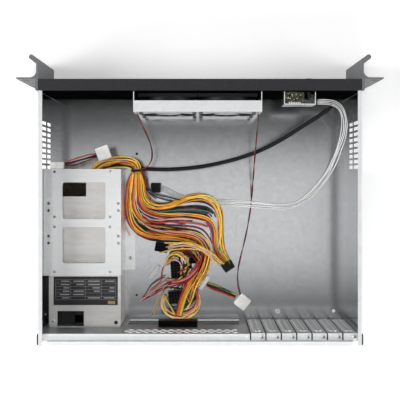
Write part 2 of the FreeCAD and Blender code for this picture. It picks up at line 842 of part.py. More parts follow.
def rotor(name, x, y_back, z, size):
    """Hub cup, stub shaft and seven twisted blades, trimmed to a round sweep."""
    hub, bore, hub_deep = size["hub"], size["bore"], size["hub_deep"]
    cup = rod(f"{name}_hub", x, f"{y_back} - {hub_deep}", z, hub, hub_deep, "Y")
    stub = rod(f"{name}_shaft", x, f"{y_back} - shaft", z, "shaft",
               "shaft + fan_mount_deep*2/3", "Y")
    blades = []
    middle = Vector(value(x), value(f"{y_back} - {hub_deep}/2"), value(z))
    low, high = value(f"{hub}/2 - blade_gauge"), value(f"{bore}/2 + blade_gauge")
    root, tip = value("blade_pitch_root"), value("blade_pitch_tip")
    sections = []
    for share in (0, 0.5, 1):
        pitch = math.radians(root + (tip - root) * share)
        chord = value(f"{hub_deep}*blade_share") / math.sin(pitch)
        sections.append(blade_section(low + (high - low) * share, chord, pitch))
    for i in range(7):
        blade = doc.addObject("Part::Feature", f"{name}_blade_{i}")
        blade.Shape = faceted(sections)
        blade.Placement = Placement(middle, Rotation(Vector(0, 1, 0), i * 360 / 7))
        blades.append(blade)
    sweep = rod(f"{name}_sweep", x, f"{y_back} - {hub_deep}", z, f"{bore} - 2*fan_tip_gap",
                hub_deep, "Y")
    trimmed = doc.addObject("Part::Common", f"{name}_blades")
    trimmed.Base = sweep
    trimmed.Tool = together(f"{name}_blade_set", blades)
    node(f"{name}_rotor", fuse(f"{name}_rotor_body", cup, stub, trimmed))


def blade_section(radius, chord, angle):
    """The corners of a thin slanted strip across a blade, at a radius along +Z."""
    along = Vector(math.cos(angle), math.sin(angle), 0) * (chord / 2)
    across = Vector(-math.sin(angle), math.cos(angle), 0) * (value("blade_gauge") / 2)
    lift = Vector(0, 0, radius)
    return [lift + along * a + across * b for a, b in ((1, 1), (-1, 1), (-1, -1), (1, -1))]


def faceted(sections):
    """A solid through four-cornered sections whose twisted sides are split into flat triangles."""
    first, last = sections[0], sections[-1]
    corners = [(first[0], first[2], first[1]), (first[0], first[3], first[2]),
               (last[0], last[1], last[2]), (last[0], last[2], last[3])]
    for one, two in zip(sections, sections[1:]):
        for k in range(4):
            after = (k + 1) % 4
            corners += [(one[k], one[after], two[after]), (one[k], two[after], two[k])]
    solid = Part.Solid(Part.Shell([Part.Face(Part.makePolygon([a, b, c, a]))
                                   for a, b, c in corners]))
    if solid.Volume < 0:
        solid.reverse()
    return solid


FAN = {"side": "fan_side", "deep": "fan_deep", "bore": "fan_bore", "hub": "fan_hub",
       "hub_deep": "fan_hub_deep"}
PSU_FAN = {"side": "psu_fan_side", "deep": "psu_fan_deep", "bore": "psu_fan_bore",
           "hub": "psu_fan_hub", "hub_deep": "psu_fan_hub_deep"}


def case_fans():
    """Two fans side by side and the full-height bracket that holds them to the front wall."""
    for side in ("left", "right"):
        fan(f"fan_{side}", f"fan_{side}", "fan_rear", "fan_level", FAN)
    gauge, high = "bracket_gauge", "bracket_top - sheet_gauge"
    span = "bracket_left + bracket_right"
    plate = box("bracket_plate", "-bracket_right", "plate_front", "sheet_gauge", span, gauge, high)
    lip = box("bracket_lid", "-bracket_right", "plate_front + bracket_gauge - bracket_lip",
              f"bracket_top - {gauge}", span, "bracket_lip", gauge)
    cheeks = [
        box(f"bracket_cheek_{i}", x, "front_in", "sheet_gauge", gauge,
            "plate_front + bracket_gauge - front_in", high)
        for i, x in enumerate(("-bracket_right", f"bracket_left - {gauge}"))
    ]
    feet = [
        box(f"bracket_foot_{i}", x, "plate_front + bracket_gauge - bracket_lip", "sheet_gauge",
            "bracket_foot", "bracket_lip", gauge)
        for i, x in enumerate(("-bracket_right - bracket_foot", "bracket_left"))
    ]
    tools = []
    heads = []
    low = "plate_front - bracket_gauge"
    for side in ("fan_left", "fan_right"):
        tools.append(rod(f"{side}_outlet", side, low, "fan_level", "fan_bore", f"3*{gauge}", "Y"))
        for a in "+-":
            for b in "+-":
                x = f"{side} {a} fan_side*fan_hole_share/2"
                z = f"fan_level {b} fan_side*fan_hole_share/2"
                tools.append(eight(f"{side}_bolt{a}{b}", x, low, z, "fan_hole", f"3*{gauge}", "Y"))
                heads.append(fuse(
                    f"{side}_screw{a}{b}",
                    hexagon(f"{side}_head{a}{b}", x, f"plate_front + {gauge}", z, "screw_head",
                            "screw_head_high"),
                    eight(f"{side}_shank{a}{b}", x, "fan_rear - fan_flange", z,
                        "fan_hole - 2*screw_fit",
                        f"fan_flange + seam_gap + {gauge} + screw_head_high/2", "Y")))
    blank = fuse("bracket_blank", plate, lip, *cheeks, *feet)
    node("fan_bracket", cut("bracket_body", blank, *tools))
    node("fan_screws", together("fan_screw_set", heads))


# ---------------------------------------------------------------- drive tray
def drive_tray():
    """Table over the supply: foot, leg, top and a flange hung on the side wall, one sheet."""
    far = "(wall_in - seam_gap)"
    corners = [
        ("tray_inner - tray_foot", "sheet_gauge"),
        ("tray_inner + tray_gauge", "sheet_gauge"),
        ("tray_inner + tray_gauge", "tray_level - tray_gauge"),
        (f"{far} - tray_gauge", "tray_level - tray_gauge"),
        (f"{far} - tray_gauge", "tray_level - tray_hang"),
        (far, "tray_level - tray_hang"),
        (far, "tray_level"),
        ("tray_inner", "tray_level"),
        ("tray_inner", "sheet_gauge + tray_gauge"),
        ("tray_inner - tray_foot", "sheet_gauge + tray_gauge"),
    ]
    table = pad("tray_fold", "XZ", corners, "tray_long", y="-tray_front")
    low, through = "tray_level - 2*tray_gauge", "3*tray_gauge"
    tools = [
        soft_block(f"tray_{name}", "tray_window_right", f"{name} - tray_front", low,
                   "tray_window_left - tray_window_right", f"{name}_long", through, "tray_corner")
        for name in ("window_front", "window_rear")
    ]
    for middle, span, rows in (
        ("big_drive_middle", "big_drive_span", BIG_DRIVE_ROWS),
        ("small_drive_middle", "small_drive_span", SMALL_DRIVE_ROWS),
    ):
        for row in rows:
            for sign in "+-":
                tools.append(eight("drive_hole", f"{middle} {sign} {span}/2",
                                 f"{row} - tray_front", low, "drive_hole", through))
    for row in BIG_DRIVE_ROWS:
        tools.append(eight("leg_hole", "tray_inner - tray_gauge", f"{row} - tray_front",
                         "tray_level - leg_hole_drop", "drive_hole", through, "X"))
    for y in ("tray_hole_front", "tray_hole_rear"):
        tools.append(eight("hang_hole", f"{far} - 2*tray_gauge", f"{y} - tray_front",
                         "wall_hole_level", "screw_thread", f"3*tray_gauge", "X"))
    tools.append(eight("foot_hole", "tray_inner - tray_foot/2", "tray_foot_hole - tray_front",
                     "sheet_gauge - tray_gauge", "screw_thread", "3*tray_gauge"))
    node("drive_tray", cut("tray_body", table, *tools))
    screws = [fuse(
        "foot_screw",
        hexagon("foot_head", "tray_inner - tray_foot/2", "tray_foot_hole - tray_front",
                "sheet_gauge + tray_gauge", "screw_head", "screw_head_high", "Z"),
        eight("foot_shank", "tray_inner - tray_foot/2", "tray_foot_hole - tray_front",
            "sheet_gauge", "screw_thread - 2*screw_fit", "tray_gauge + screw_head_high/2"))]
    for i, y in enumerate(("tray_hole_front", "tray_hole_rear")):
        screws.append(fuse(
            f"hang_screw_{i}",
            hexagon(f"hang_head_{i}", "half_body", f"{y} - tray_front", "wall_hole_level",
                    "screw_head", "wall_screw_high", "X"),
            eight(f"hang_shank_{i}", f"{far} - tray_gauge", f"{y} - tray_front",
                "wall_hole_level", "screw_thread - 2*screw_fit",
                f"half_body - {far} + tray_gauge + wall_screw_high/2", "X")))
    node("tray_screws", together("tray_screw_set", screws))


BIG_DRIVE_ROWS = [
    "big_drive_first",
    "(big_drive_first + big_drive_step)",
    "(big_drive_first + big_drive_row)",
    "(big_drive_first + big_drive_step + big_drive_row)",
]
SMALL_DRIVE_ROWS = [
    "small_drive_first",
    "(small_drive_first + small_drive_row)",
    "(small_drive_first + small_drive_row + small_drive_pair)",
    "(small_drive_first + 2*small_drive_row + small_drive_pair)",
]


# ---------------------------------------------------------------- power supply
def psu_case():
    """The supply's box: a U of bottom and ends, and a cover of top and sides over it."""
    gauge = "psu_sheet"
    ends = [
        ("psu_front", "sheet_gauge"), ("psu_rear", "sheet_gauge"),
        ("psu_rear", f"psu_top - {gauge}"), (f"psu_rear - {gauge}", f"psu_top - {gauge}"),
        (f"psu_rear - {gauge}", f"sheet_gauge + {gauge}"),
        (f"psu_front + {gauge}", f"sheet_gauge + {gauge}"),
        (f"psu_front + {gauge}", f"psu_top - {gauge}"), ("psu_front", f"psu_top - {gauge}"),
    ]
    trough = pad("psu_trough", "YZ", ends, f"psu_wide - 2*{gauge}", x=f"psu_side + {gauge}")
    low, through = f"psu_rear - 2*{gauge}", f"3*{gauge}"
    tools = [
        rod("psu_outlet", "psu_fan_middle", low, "psu_fan_level", "psu_fan_bore", through, "Y"),
        box("psu_inlet_hole", "inlet_middle - inlet_wide/2", low, "inlet_level - inlet_high/2",
            "inlet_wide", through, "inlet_high"),
        box("psu_rocker_hole", "inlet_middle - rocker_wide/2 - rocker_frame_wall", low,
            "rocker_level - rocker_high/2 - rocker_frame_wall",
            "rocker_wide + 2*rocker_frame_wall", through, "rocker_high + 2*rocker_frame_wall"),
        rod("psu_lead_hole", "lead_middle", f"psu_front - {gauge}", "lead_level",
            "1.1*harness_across + 2*lead_hole_gap", through, "Y"),
    ]
    node("psu_base", cut("psu_base_body", trough, *tools))
    skirt = [
        ("psu_side", "sheet_gauge"), (f"psu_side + {gauge}", "sheet_gauge"),
        (f"psu_side + {gauge}", f"psu_top - {gauge}"), (f"psu_far - {gauge}", f"psu_top - {gauge}"),
        (f"psu_far - {gauge}", "sheet_gauge"), ("psu_far", "sheet_gauge"), ("psu_far", "psu_top"),
        ("psu_side", "psu_top"),
    ]
    cover = pad("psu_skirt", "XZ", skirt, "psu_long - psu_cover_short", y="psu_front")
    notches = [
        box("psu_rear_cut", "psu_rear_notch", "psu_rear - psu_cover_short - psu_notch_long",
            "psu_top - 2*psu_sheet", "psu_notch_wide", "2*psu_notch_long", "3*psu_sheet"),
        box("psu_front_cut", "psu_front_notch", "psu_front - psu_notch_long",
            "psu_top - 2*psu_sheet", "psu_notch_wide", "2*psu_notch_long", "3*psu_sheet"),
    ]
    node("psu_cover", cut("psu_cover_body", cover, *notches))


def psu_inside():
    """Circuit board with its heat sinks, transformer and capacitors, as one soldered assembly."""
    floor = "sheet_gauge + psu_sheet"
    board_top = f"({floor} + board_stand + board_gauge)"
    near = "(psu_front + psu_sheet + board_margin)"
    long = "(psu_long - 2*psu_sheet - 2*board_margin - psu_fan_deep)"
    side = "(psu_side + psu_sheet + board_margin)"
    wide = "(psu_wide - 2*psu_sheet - 2*board_margin)"
    parts = [box("psu_board_plate", side, near, f"{floor} + board_stand", wide, long,
                 "board_gauge")]
    for i, x in enumerate((f"{side} + sink_aside", f"{side} + {wide} - sink_aside - sink_gauge")):
        parts.append(box(f"psu_sink_{i}", x, f"{near} + sink_front", board_top, "sink_gauge",
                         "sink_long", "sink_high"))
        for fin in range(4):
            parts.append(box(f"psu_fin_{i}{fin}", f"{x} - sink_fin", f"{near} + sink_front"
                             f" + ({fin} + 0.5)*sink_long/4", board_top,
                             "2*sink_fin + sink_gauge", "sink_gauge", "sink_high"))
    parts.append(box("psu_transformer", f"{side} + {wide}/2 - coil_side/2",
                     f"{near} + sink_front + sink_long/3", board_top, "coil_side", "coil_side",
                     "coil_high"))
    for i in range(2):
        parts.append(rod(f"psu_capacitor_{i}", f"{side} + {wide}/2",
                         f"{near} + sink_front + sink_long - ({i})*1.2*capacitor", board_top,
                         "capacitor", "capacitor_high"))
    legs = [
        eight(f"psu_post_{a}{b}", f"{side} + {wide}*({a})", f"{near} + ({long})*({b})", floor,
            "board_post", "board_stand")
        for a in ("1/12", "11/12") for b in ("1/20", "19/20")
    ]
    node("psu_board", fuse("psu_board_body", *parts, *legs))


def psu_rear():
    """What sits in the supply's rear face: fan with guard, mains inlet and rocker switch."""
    fan("psu_fan", "psu_fan_middle", "(psu_rear - psu_sheet)", "psu_fan_level", PSU_FAN,
        holes="")
    rings = []
    for i in range(2):
        across = f"psu_fan_bore*({i} + 1)/2 - ({1 - i})*psu_guard_wire"
        disc = rod(f"guard_disc_{i}", "psu_fan_middle", "psu_rear", "psu_fan_level",
                   across, "psu_guard_gauge", "Y")
        hole = rod(f"guard_hole_{i}", "psu_fan_middle", "psu_rear - psu_guard_gauge",
                   "psu_fan_level", f"{across} - 2*psu_guard_wire", "3*psu_guard_gauge", "Y")
        rings.append(cut(f"guard_ring_{i}", disc, hole))
    arm = "psu_fan_side - psu_guard_short"
    rings.append(box("guard_arm_x", f"psu_fan_middle - ({arm})/2", "psu_rear",
                     "psu_fan_level - psu_guard_wire/2", arm, "psu_guard_gauge",
                     "psu_guard_wire"))
    rings.append(box("guard_arm_z", "psu_fan_middle - psu_guard_wire/2", "psu_rear",
                     f"psu_fan_level - ({arm})/2", "psu_guard_wire", "psu_guard_gauge", arm))
    node("psu_fan_guard", fuse("guard_body", *rings))

    socket_box = box("inlet_box", "inlet_middle - inlet_wide/2 + inlet_fit",
                     "psu_rear - inlet_deep", "inlet_level - inlet_high/2 + inlet_fit",
                     "inlet_wide - 2*inlet_fit", "inlet_deep", "inlet_high - 2*inlet_fit")
    flange = box("inlet_rim", "inlet_middle - inlet_wide/2 - inlet_flange/2", "psu_rear",
                 "inlet_level - inlet_high/2 - inlet_flange/2", "inlet_wide + inlet_flange",
                 "inlet_rim_high", "inlet_high + inlet_flange")
    recess = box("inlet_recess", "inlet_middle - inlet_wide/2 + inlet_wall",
                 "psu_rear - inlet_deep + inlet_wall", "inlet_level - inlet_high/2 + inlet_wall",
                 "inlet_wide - 2*inlet_wall", "inlet_deep + inlet_rim_high",
                 "inlet_high - 2*inlet_wall")
    shell = cut("inlet_shell", fuse("inlet_blank", socket_box, flange), recess)
    pins = [
        box(f"inlet_pin_{i}", f"inlet_middle + ({i - 1})*inlet_pin_step - inlet_pin_wide/2",
            "psu_rear - inlet_deep", f"inlet_level + ({i % 2})*inlet_pin_lift - inlet_pin_lift",
            "inlet_pin_wide", "inlet_deep - inlet_pin_back", "2*inlet_pin_wide")
        for i in range(3)
    ]
    node("mains_inlet", fuse("inlet_body", shell, *pins))

    frame = box("rocker_frame_blank",
                "inlet_middle - rocker_wide/2 - rocker_frame_wall + inlet_fit",
                "psu_rear - rocker_deep", "rocker_level - rocker_high/2 - rocker_frame_wall"
                " + inlet_fit", "rocker_wide + 2*rocker_frame_wall - 2*inlet_fit",
                "rocker_deep + inlet_rim_high",
                "rocker_high + 2*rocker_frame_wall - 2*inlet_fit")
    well = box("rocker_well", "inlet_middle - rocker_wide/2 + inlet_fit",
               "psu_rear - rocker_deep + rocker_frame_wall",
               "rocker_level - rocker_high/2 + inlet_fit", "rocker_wide - 2*inlet_fit",
               "rocker_deep*2", "rocker_high - 2*inlet_fit")
    node("rocker_frame", cut("rocker_frame_body", frame, well))
    half = "(rocker_high/2 - rocker_clear)"
    corners = [
        ("-rocker_body", f"-{half}*3/4"), ("rocker_dip", f"-{half}"), ("rocker_middle", "0"),
        ("rocker_dip", half), ("-rocker_body", f"{half}*3/4"),
    ]
    key = pad("rocker_key", "YZ", corners, "rocker_wide - 2*rocker_side_gap")
    key.Placement = Placement(Vector(), Rotation(Vector(1, 0, 0), -value("rocker_swing")/2))
    key.setExpression("Placement.Base.x", cells(
        "inlet_middle - rocker_wide/2 + rocker_side_gap"))
    key.setExpression("Placement.Base.y", cells("psu_rear + rocker_pivot"))
    key.setExpression("Placement.Base.z", cells("rocker_level"))
    node("rocker_switch", key)


# ---------------------------------------------------------------- front sockets
def front_sockets():
    """Steel holder behind the bezel with the socket board, buttons, switches and lamps."""
    gauge = "port_gauge"
    back = "front_in + port_deep"
    foot = "port_level - port_high"
    cheeks = [
        box(f"port_cheek_{i}", x, "front_in", foot, gauge, "port_deep", "port_high")
        for i, x in enumerate(("-port_right", f"-port_left - {gauge}"))
    ]
    strip = box("port_strip", "-port_right", f"{back} - {gauge}", foot,
                "port_right - port_left", gauge, "port_high")
    shelf = box("port_shelf", "-port_right", "front_in", foot, "port_right - port_left",
                "port_deep", gauge)
    node("port_bracket", fuse("port_bracket_body", strip, shelf, *cheeks))

    board_x = f"-port_left - {gauge} - port_board_wide"
    board = box("port_board_plate", board_x, "front_in + seam_gap", "board_level",
                "port_board_wide", f"port_deep - {gauge} - seam_gap", "board_gauge")
    posts = [
        eight(f"port_post_{i}", f"{board_x} + port_board_wide*({2 * i + 1})/4",
            "front_in + port_deep/2", f"{foot} + {gauge}", "board_post",
            f"board_level - ({foot}) - {gauge}")
        for i in range(2)
    ]
    top = "board_level + board_gauge"
    front = "(bezel_front - usb_proud)"
    back_of_stack = "(front_in + port_deep*0.7)"
    outside = box("usb_outside", "usb_middle - usb_wide/2", front, top, "usb_wide",
                  f"{back_of_stack} - {front}", "usb_stack")
    bays = [
        box(f"usb_bay_{i}", "usb_middle - usb_wide/2 + usb_wall", f"{front} - usb_wall",
            f"{top} + usb_wall + ({i})*(usb_stack/2)", "usb_wide - 2*usb_wall",
            "usb_bay_deep", "usb_stack/2 - 2*usb_wall")
        for i in range(2)
    ]
    tongues = [
        box(f"usb_tongue_{i}", "usb_middle - usb_wide/2 + 2*usb_wall", f"{front} + usb_tongue_back",
            f"{top} + usb_wall + usb_stack/4 + ({i})*(usb_stack/2)",
            "usb_wide - 4*usb_wall", "usb_bay_deep - usb_tongue_back", "usb_tongue")
        for i in range(2)
    ]
    node("usb_sockets", fuse("usb_body", cut("usb_shell", outside, *bays), *tongues))

    pin_row = "front_in + port_deep - port_gauge - header_wide - header_back"
    header = box("header_base", f"{board_x} + header_in", pin_row, top, "header_long",
                 "header_wide", "header_high")
    pins = [
        box(f"header_pin_{i}", f"{board_x} + header_in + ({i} + 0.5)*header_long/5 - pin_side/2",
            f"{pin_row} + header_wide/2 - pin_side/2", f"{top} + header_high", "pin_side",
            "pin_side", "pin_high")
        for i in range(5)
    ]
    node("port_board", fuse("port_board_body", board, header, *posts, *pins))

    switches = []
    for name in ("power", "reset"):
        cap = rod(f"{name}_cap", "button_middle", "bezel_front - button_proud", f"{name}_level",
                  f"{name}_size", "button_proud + button_deep", "Y")
        rim = rod(f"{name}_rim", "button_middle", "bezel_front + bezel_face + rim_gap",
                  f"{name}_level", f"{name}_size + 2*button_rim", "rim_deep", "Y")
        node(f"{name}_button", fuse(f"{name}_button_body", cap, rim))
        front_of_switch = "(bezel_front + button_deep + button_travel + rim_gap)"
        switches.append(rod(f"{name}_switch", "button_middle", front_of_switch,
                            f"{name}_level", "switch_size",
                            f"front_in + switch_back - {front_of_switch}", "Y"))
    node("button_switches", together("switch_pair", switches))
    lamps = [
        eight(f"lamp_{i}", x, "bezel_front - lamp_proud", "lamp_level",
            "lamp_size - 2*screw_fit", "lamp_proud + panel_depth", "Y")
        for i, x in enumerate(LAMP_X)
    ]
    node("status_lamps", together("lamp_pair", lamps))


def corner_strips():
    """Rubber strip on the lid ledge at each rear corner, which keeps the lid from rattling."""
    left = box("strip_left", "upper_out", "rear_end - strip_long - strip_back", "lid_ledge",
               "strip_wide", "strip_long", "strip_high")
    node("corner_strips", together("strip_pair", [left, mirrored("strip_right", left)]))


# ---------------------------------------------------------------- wiring
# Points of each cord's route, in order, as it lies in the case.
ROUTES = {
    "psu_harness": [
        (150, -24, 50), (149.6, -35, 50), (141, -45.5, 51), (126, -50.5, 51.5), (109, -52, 50),
        (97, -50.5, 46.5), (90, -45, 44), (90, -36.5, 44),
    ],
    "harness_board": [
        (98.6, -36.5, 44), (98.6, -22.5, 44), (100.8, -3.3, 34), (103.1, 12.6, 25),
        (101.9, 28.7, 17), (95, 42.8, 11), (80.7, 53.8, 6.5), (58.1, 58.9, 4.7),
        (33.4, 59.5, 4.6), (11.6, 61.9, 4.6), (-2.2, 72.8, 4.6), (-4.9, 90.2, 5),
        (2, 106.6, 8), (12.3, 120.4, 14), (20.1, 133, 23), (24.9, 144.5, 33),
        (28.2, 154.4, 43), (29.9, 163.5, 54),
    ],
    "harness_drive": [
        (92.4, -36.5, 44.3), (92.4, -22.5, 44.3), (94.7, -3.4, 36), (94.3, 11.1, 28),
        (90, 24.2, 20.5), (80.7, 35.3, 15), (65.7, 43.4, 12), (46.3, 47.5, 11), (26, 48.6, 11),
        (6.5, 52.1, 11), (-6.9, 62.2, 11.5), (-13, 78, 12), (-11.3, 95.5, 11),
        (-5.2, 110.8, 10), (3.2, 123.5, 9.5), (12.6, 131.8, 9.5),
    ],
    "harness_fan": [
        (86.8, -36.5, 44), (86.8, -22.5, 44), (87.9, -4.8, 37), (86.1, 7.9, 29.5),
        (78.4, 18.1, 24), (65.3, 24, 20), (46, 26.9, 18), (25.9, 26.5, 18), (5.8, 27.2, 18),
        (-11, 30.9, 15), (-19.7, 43.5, 10.5), (-20.3, 62.5, 7), (-24, 79.3, 5),
        (-29.9, 87.3, 5.2), (-36, 93.5, 6),
    ],
    "harness_cpu": [
        (81.1, -36.5, 44.3), (81.1, -22.5, 44.3), (80.6, -4.2, 39), (75.1, 6.6, 33),
        (63, 12.4, 29.5), (46.4, 11.9, 28), (30, 5.4, 27), (13.6, -0.9, 27), (-3.6, -2.6, 26),
        (-18.6, 3.4, 24.5), (-27.7, 17, 21.5), (-30.8, 35.1, 18), (-30.1, 54.8, 14),
        (-32.1, 72.3, 11), (-36.2, 82.3, 9.8), (-41.3, 90.1, 8.5),
    ],
    "sata_lead": [
        (44.5, 70.8, 8), (33.9, 67.6, 12.5), (19.4, 65.5, 18), (4.3, 68.5, 20),
        (-8.6, 75.2, 20), (-19.3, 84.7, 16.8), (-31.3, 95.9, 9),
    ],
    "spare_lead": [
        (1.4, 99.7, 19), (10.8, 113.3, 19.3), (24.5, 121.9, 17), (39.7, 124.4, 13.5),
        (55.7, 130.7, 9), (70.4, 140.3, 5.5), (85, 148.5, 3.6),
    ],
    "loop_lead": [
        (6.4, 134.7, 3.6), (2, 144.9, 3.6), (1.7, 156.5, 3.7), (9, 167.4, 4), (23.3, 174, 4),
        (38.5, 173.7, 4), (51.2, 165.3, 4), (56.7, 151.4, 4), (50.2, 141.1, 5),
    ],
    "arc_lead": [
        (46.1, 97.2, 8), (45.7, 89, 9.5), (39.6, 82.7, 11), (30.8, 80.9, 12), (23.1, 85, 11.5),
        (19.5, 93.8, 10.5), (19, 104.3, 9.5), (19.8, 116.6, 9), (22.3, 131.3, 8.5),
    ],
    "fan_lead_left": [
        (84.5, -115.2, 106), (77.9, -99.5, 94), (69.5, -82.4, 82), (65.8, -66.3, 70.5),
        (67, -53.3, 61), (73.7, -43.5, 55.5), (85, -40.5, 52),
    ],
    "fan_lead_right": [
        (-78.2, -115.3, 104), (-78.2, -96.2, 91), (-76.8, -75.7, 77), (-75.9, -55.4, 61.5),
        (-75.8, -34.6, 40), (-75.5, -14.5, 17), (-74.8, 4.6, 2.6), (-72.5, 23.5, 2.4),
        (-69, 43.9, 2.4), (-64.5, 64.3, 2.4), (-59.4, 84.7, 2.4), (-55.3, 103.5, 3),
        (-54, 120.7, 5), (-56.9, 134.2, 8.5),
    ],
    "usb_cable": [
        (-176.7, -124.7, 108), (-161.2, -113, 104), (-139.4, -99.4, 95), (-117.5, -85, 83),
        (-94, -71.5, 69), (-67, -60.3, 57), (-36.5, -51.7, 49), (-4.2, -45, 45),
        (28.2, -41.6, 43.5), (56.4, -40.8, 43), (82.2, -42.2, 44),
    ],
    "panel_leads": [
        (-157.3, -131, 108), (-174.6, -132, 104), (-191.3, -125.4, 92), (-200.2, -109.1, 70),
        (-201.9, -89.4, 46), (-199.7, -69, 24), (-192.5, -47.7, 9.5), (-178.7, -24.5, 4.2),
        (-161.4, -4.1, 3.6), (-141, 9.4, 4), (-116.1, 13.1, 6), (-89.9, 11.2, 6.8),
        (-63.8, 8.3, 6.8), (-37.8, 6.3, 5), (-11.6, 4.9, 4), (11.6, 2.4, 5), (31.9, -2.8, 9),
        (46.9, -10.4, 13), (55.8, -13.6, 14.5),
    ],
    "ribbon_right": [
        (-10, 125.6, 6.5), (-23.2, 130.5, 8), (-38.4, 136.5, 8), (-51.6, 143, 7),
    ],
    "ribbon_left": [
        (144.1, -60.2, 62), (157.7, -55.8, 67.5), (171.6, -51.8, 75), (185, -48.1, 79.6),
    ],
}

# What each cord measures across, and how many wires run in it.
CORDS = {
    "psu_harness": "harness_across",
    "harness_board": "board_loom",
    "harness_drive": "branch_loom",
    "harness_fan": "branch_loom",
    "harness_cpu": "branch_loom",
    "sata_lead": "thin_loom",
    "spare_lead": "spare_loom",
    "loop_lead": "loop_loom",
    "arc_lead": "loop_loom",
    "fan_lead_left": "fan_cord",
    "fan_lead_right": "fan_cord",
    "usb_cable": "usb_cord",
    "panel_leads": "thin_loom",
    "ribbon_right": "ribbon_loom",
    "ribbon_left": "ribbon_loom",
}


def cord(name, across, points):
    """A six-sided tube along straight runs joined by tangent arcs as large as the runs allow."""
    spots = [Vector(*point) for point in points]
    edges, start, tightest, long = [], spots[0], math.inf, 0
    for before, corner, after in zip(spots, spots[1:], spots[2:]):
        back, ahead = before - corner, after - corner
        turn = math.pi - back.getAngle(ahead)
        trim = 0.45 * min(back.Length, ahead.Length)
        tightest = min(tightest, trim / math.tan(turn / 2))
        first = corner + back.normalize() * trim
        last = corner + ahead.normalize() * trim
        middle = (back + ahead).normalize()
        reach = trim / math.tan(turn / 2) / math.cos(turn / 2) - trim / math.tan(turn / 2)
        edges.append(Part.makeLine(start, first))
        edges.append(Part.Arc(first, corner + middle * reach, last).toShape())
        start = last
    edges.append(Part.makeLine(start, spots[-1]))
    route = Part.Wire(edges)
    ring = Part.makePolygon([
        Vector(math.cos(i * math.pi / 3), math.sin(i * math.pi / 3), 0) * (across * 0.55)
        for i in range(7)
    ])
    ring.Placement = Placement(spots[0], Rotation(Vector(0, 0, 1), spots[1] - spots[0]))
    tube = doc.addObject("Part::Feature", f"{name}_tube")
    tube.Shape = route.makePipeShell([Part.Wire(ring)], True, False)
    area = 3 * math.sqrt(3) / 2 * (across * 0.55) ** 2
    share = tube.Shape.Volume / (area * route.Length)
    print(f"{name}: {route.Length:.0f} mm long, tightest radius {tightest:.1f} mm"
          f" ({tightest / across:.1f} across), volume/section/length {share:.3f}")
    node(name, tube)


# Each plug: the middle of its underside, its three sizes and its turn about +Z in degrees.
BLACK_PLUGS = [
    ((-40.6, 99, 1.2), "cpu_plug_wide", "cpu_plug_long", "cpu_plug_high", 33.5),
    ((55.8, 71.6, 1.2), "sata_plug_wide", "sata_plug_long", "sata_plug_high", -10),
    ((35.5, 104, 1.2), "sata_plug_long", "mid_plug_long", "sata_plug_high", 3),
    ((31.1, 143.4, 1.2), "double_plug_long", "sata_plug_wide", "cpu_plug_high", 6),
    ((9.3, 88.6, 1.2), "sata_plug_long", "sata_plug_long", "low_plug_high", 0),
    ((63.9, -14.8, 10), "sata_plug_long", "sata_plug_long", "sata_plug_high", 0),
]
WHITE_PLUGS = [
    ((-61.5, 150.7, 1.2), "drive_plug_wide", "drive_plug_long", "drive_plug_high", 51),
    ((-6.1, 123.3, 1.2), "thin_plug_wide", "thin_plug_long", "thin_plug_high", -32),
    ((134.2, -63.7, 57), "drive_plug_wide", "drive_plug_long", "drive_plug_high", -70),
    ((195.9, -46.4, 76), "drive_plug_wide", "low_plug_long", "thin_plug_high", 0),
    ((65.9, 108.1, 1.2), "thin_plug_wide", "thin_plug_long", "thin_plug_high", -35),
]


def plug(name, spot, wide, long, high, turn):
    """A moulded connector, from the middle of its underside."""
    block = box(name, 0, 0, 0, wide, long, high)
    for axis in "xyz":
        block.setExpression(f"Placement.Base.{axis}", None)
    turned = Placement(Vector(*spot), Rotation(Vector(0, 0, 1), turn))
    middle = Placement(Vector(-value(wide) / 2, -value(long) / 2, 0), Rotation())
    block.Placement = turned.multiply(middle)
    return block


def wiring():
    """Looms and leads as they lie, the connectors on them and the tie round the harness."""
    for name, across in CORDS.items():
        cord(name, value(across), ROUTES[name])
    node("board_plug", plug("board_plug_block", BOARD_PLUG, "board_plug_wide",
                            "board_plug_deep", "board_plug_high", 0))
    for colour, plugs in (("black", BLACK_PLUGS), ("white", WHITE_PLUGS)):
        node(f"{colour}_plugs", together(f"{colour}_plug_set", [
            plug(f"{colour}_plug_{i}", *one) for i, one in enumerate(plugs)]))
    x, y, z = ROUTES["psu_harness"][-1]
    start = f"{y} - tie_back"
    strap = cut("tie_strap",
                rod("tie_outside", x, start, z, "1.1*harness_across + 2*seam_gap + 2*tie_gauge",
                    "tie_wide", "Y"),
                rod("tie_inside", x, f"{start} - tie_wide", z,
                    "1.1*harness_across + 2*seam_gap", "3*tie_wide", "Y"))
    node("cable_tie", strap)


BOARD_PLUG = (30.5, 171.3, 55)


# ---------------------------------------------------------------- the whole case
def build():
    """Every sub-part in turn."""
    for make in (chassis_tray, board_standoff, front_bezel, front_grille, front_wall, ears,
                 rear_panel, slot_covers, case_fans, drive_tray, psu_case, psu_inside, psu_rear,
                 front_sockets, corner_strips, wiring):
        make()


def write():
    """Check every object and shape, then write one file for each node."""
    doc.recompute()
    broken = [o.Name for o in doc.Objects if {"Invalid", "Error"} & set(o.State)]
    empty = [
        name for name, thing in NODES.items() if thing.Shape.isNull() or not thing.Shape.isValid()
    ]
    if broken or empty:
        raise SystemExit(f"failed objects {broken}, bad shapes {empty}")
    os.makedirs("parts", exist_ok=True)
    for name, thing in NODES.items():
        thing.Shape.exportStep(f"parts/{name}.step")
        solids = len(thing.Shape.Solids)
        print(f"{name}: {solids} solid(s), {thing.Shape.Volume / 1000:.1f} cm3")


build()
write()
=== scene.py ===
"""Looks of an empty rackmount server case with its lid off, seen from straight above.

Every place is in the row frame. Camera, lamps, floor and patterns are in metres. Routes and
pieces are in the source's millimetres, which mm() turns into metres.
"""
import math
import random

import bmesh
import bpy
from mathutils import Matrix, Vector, noise


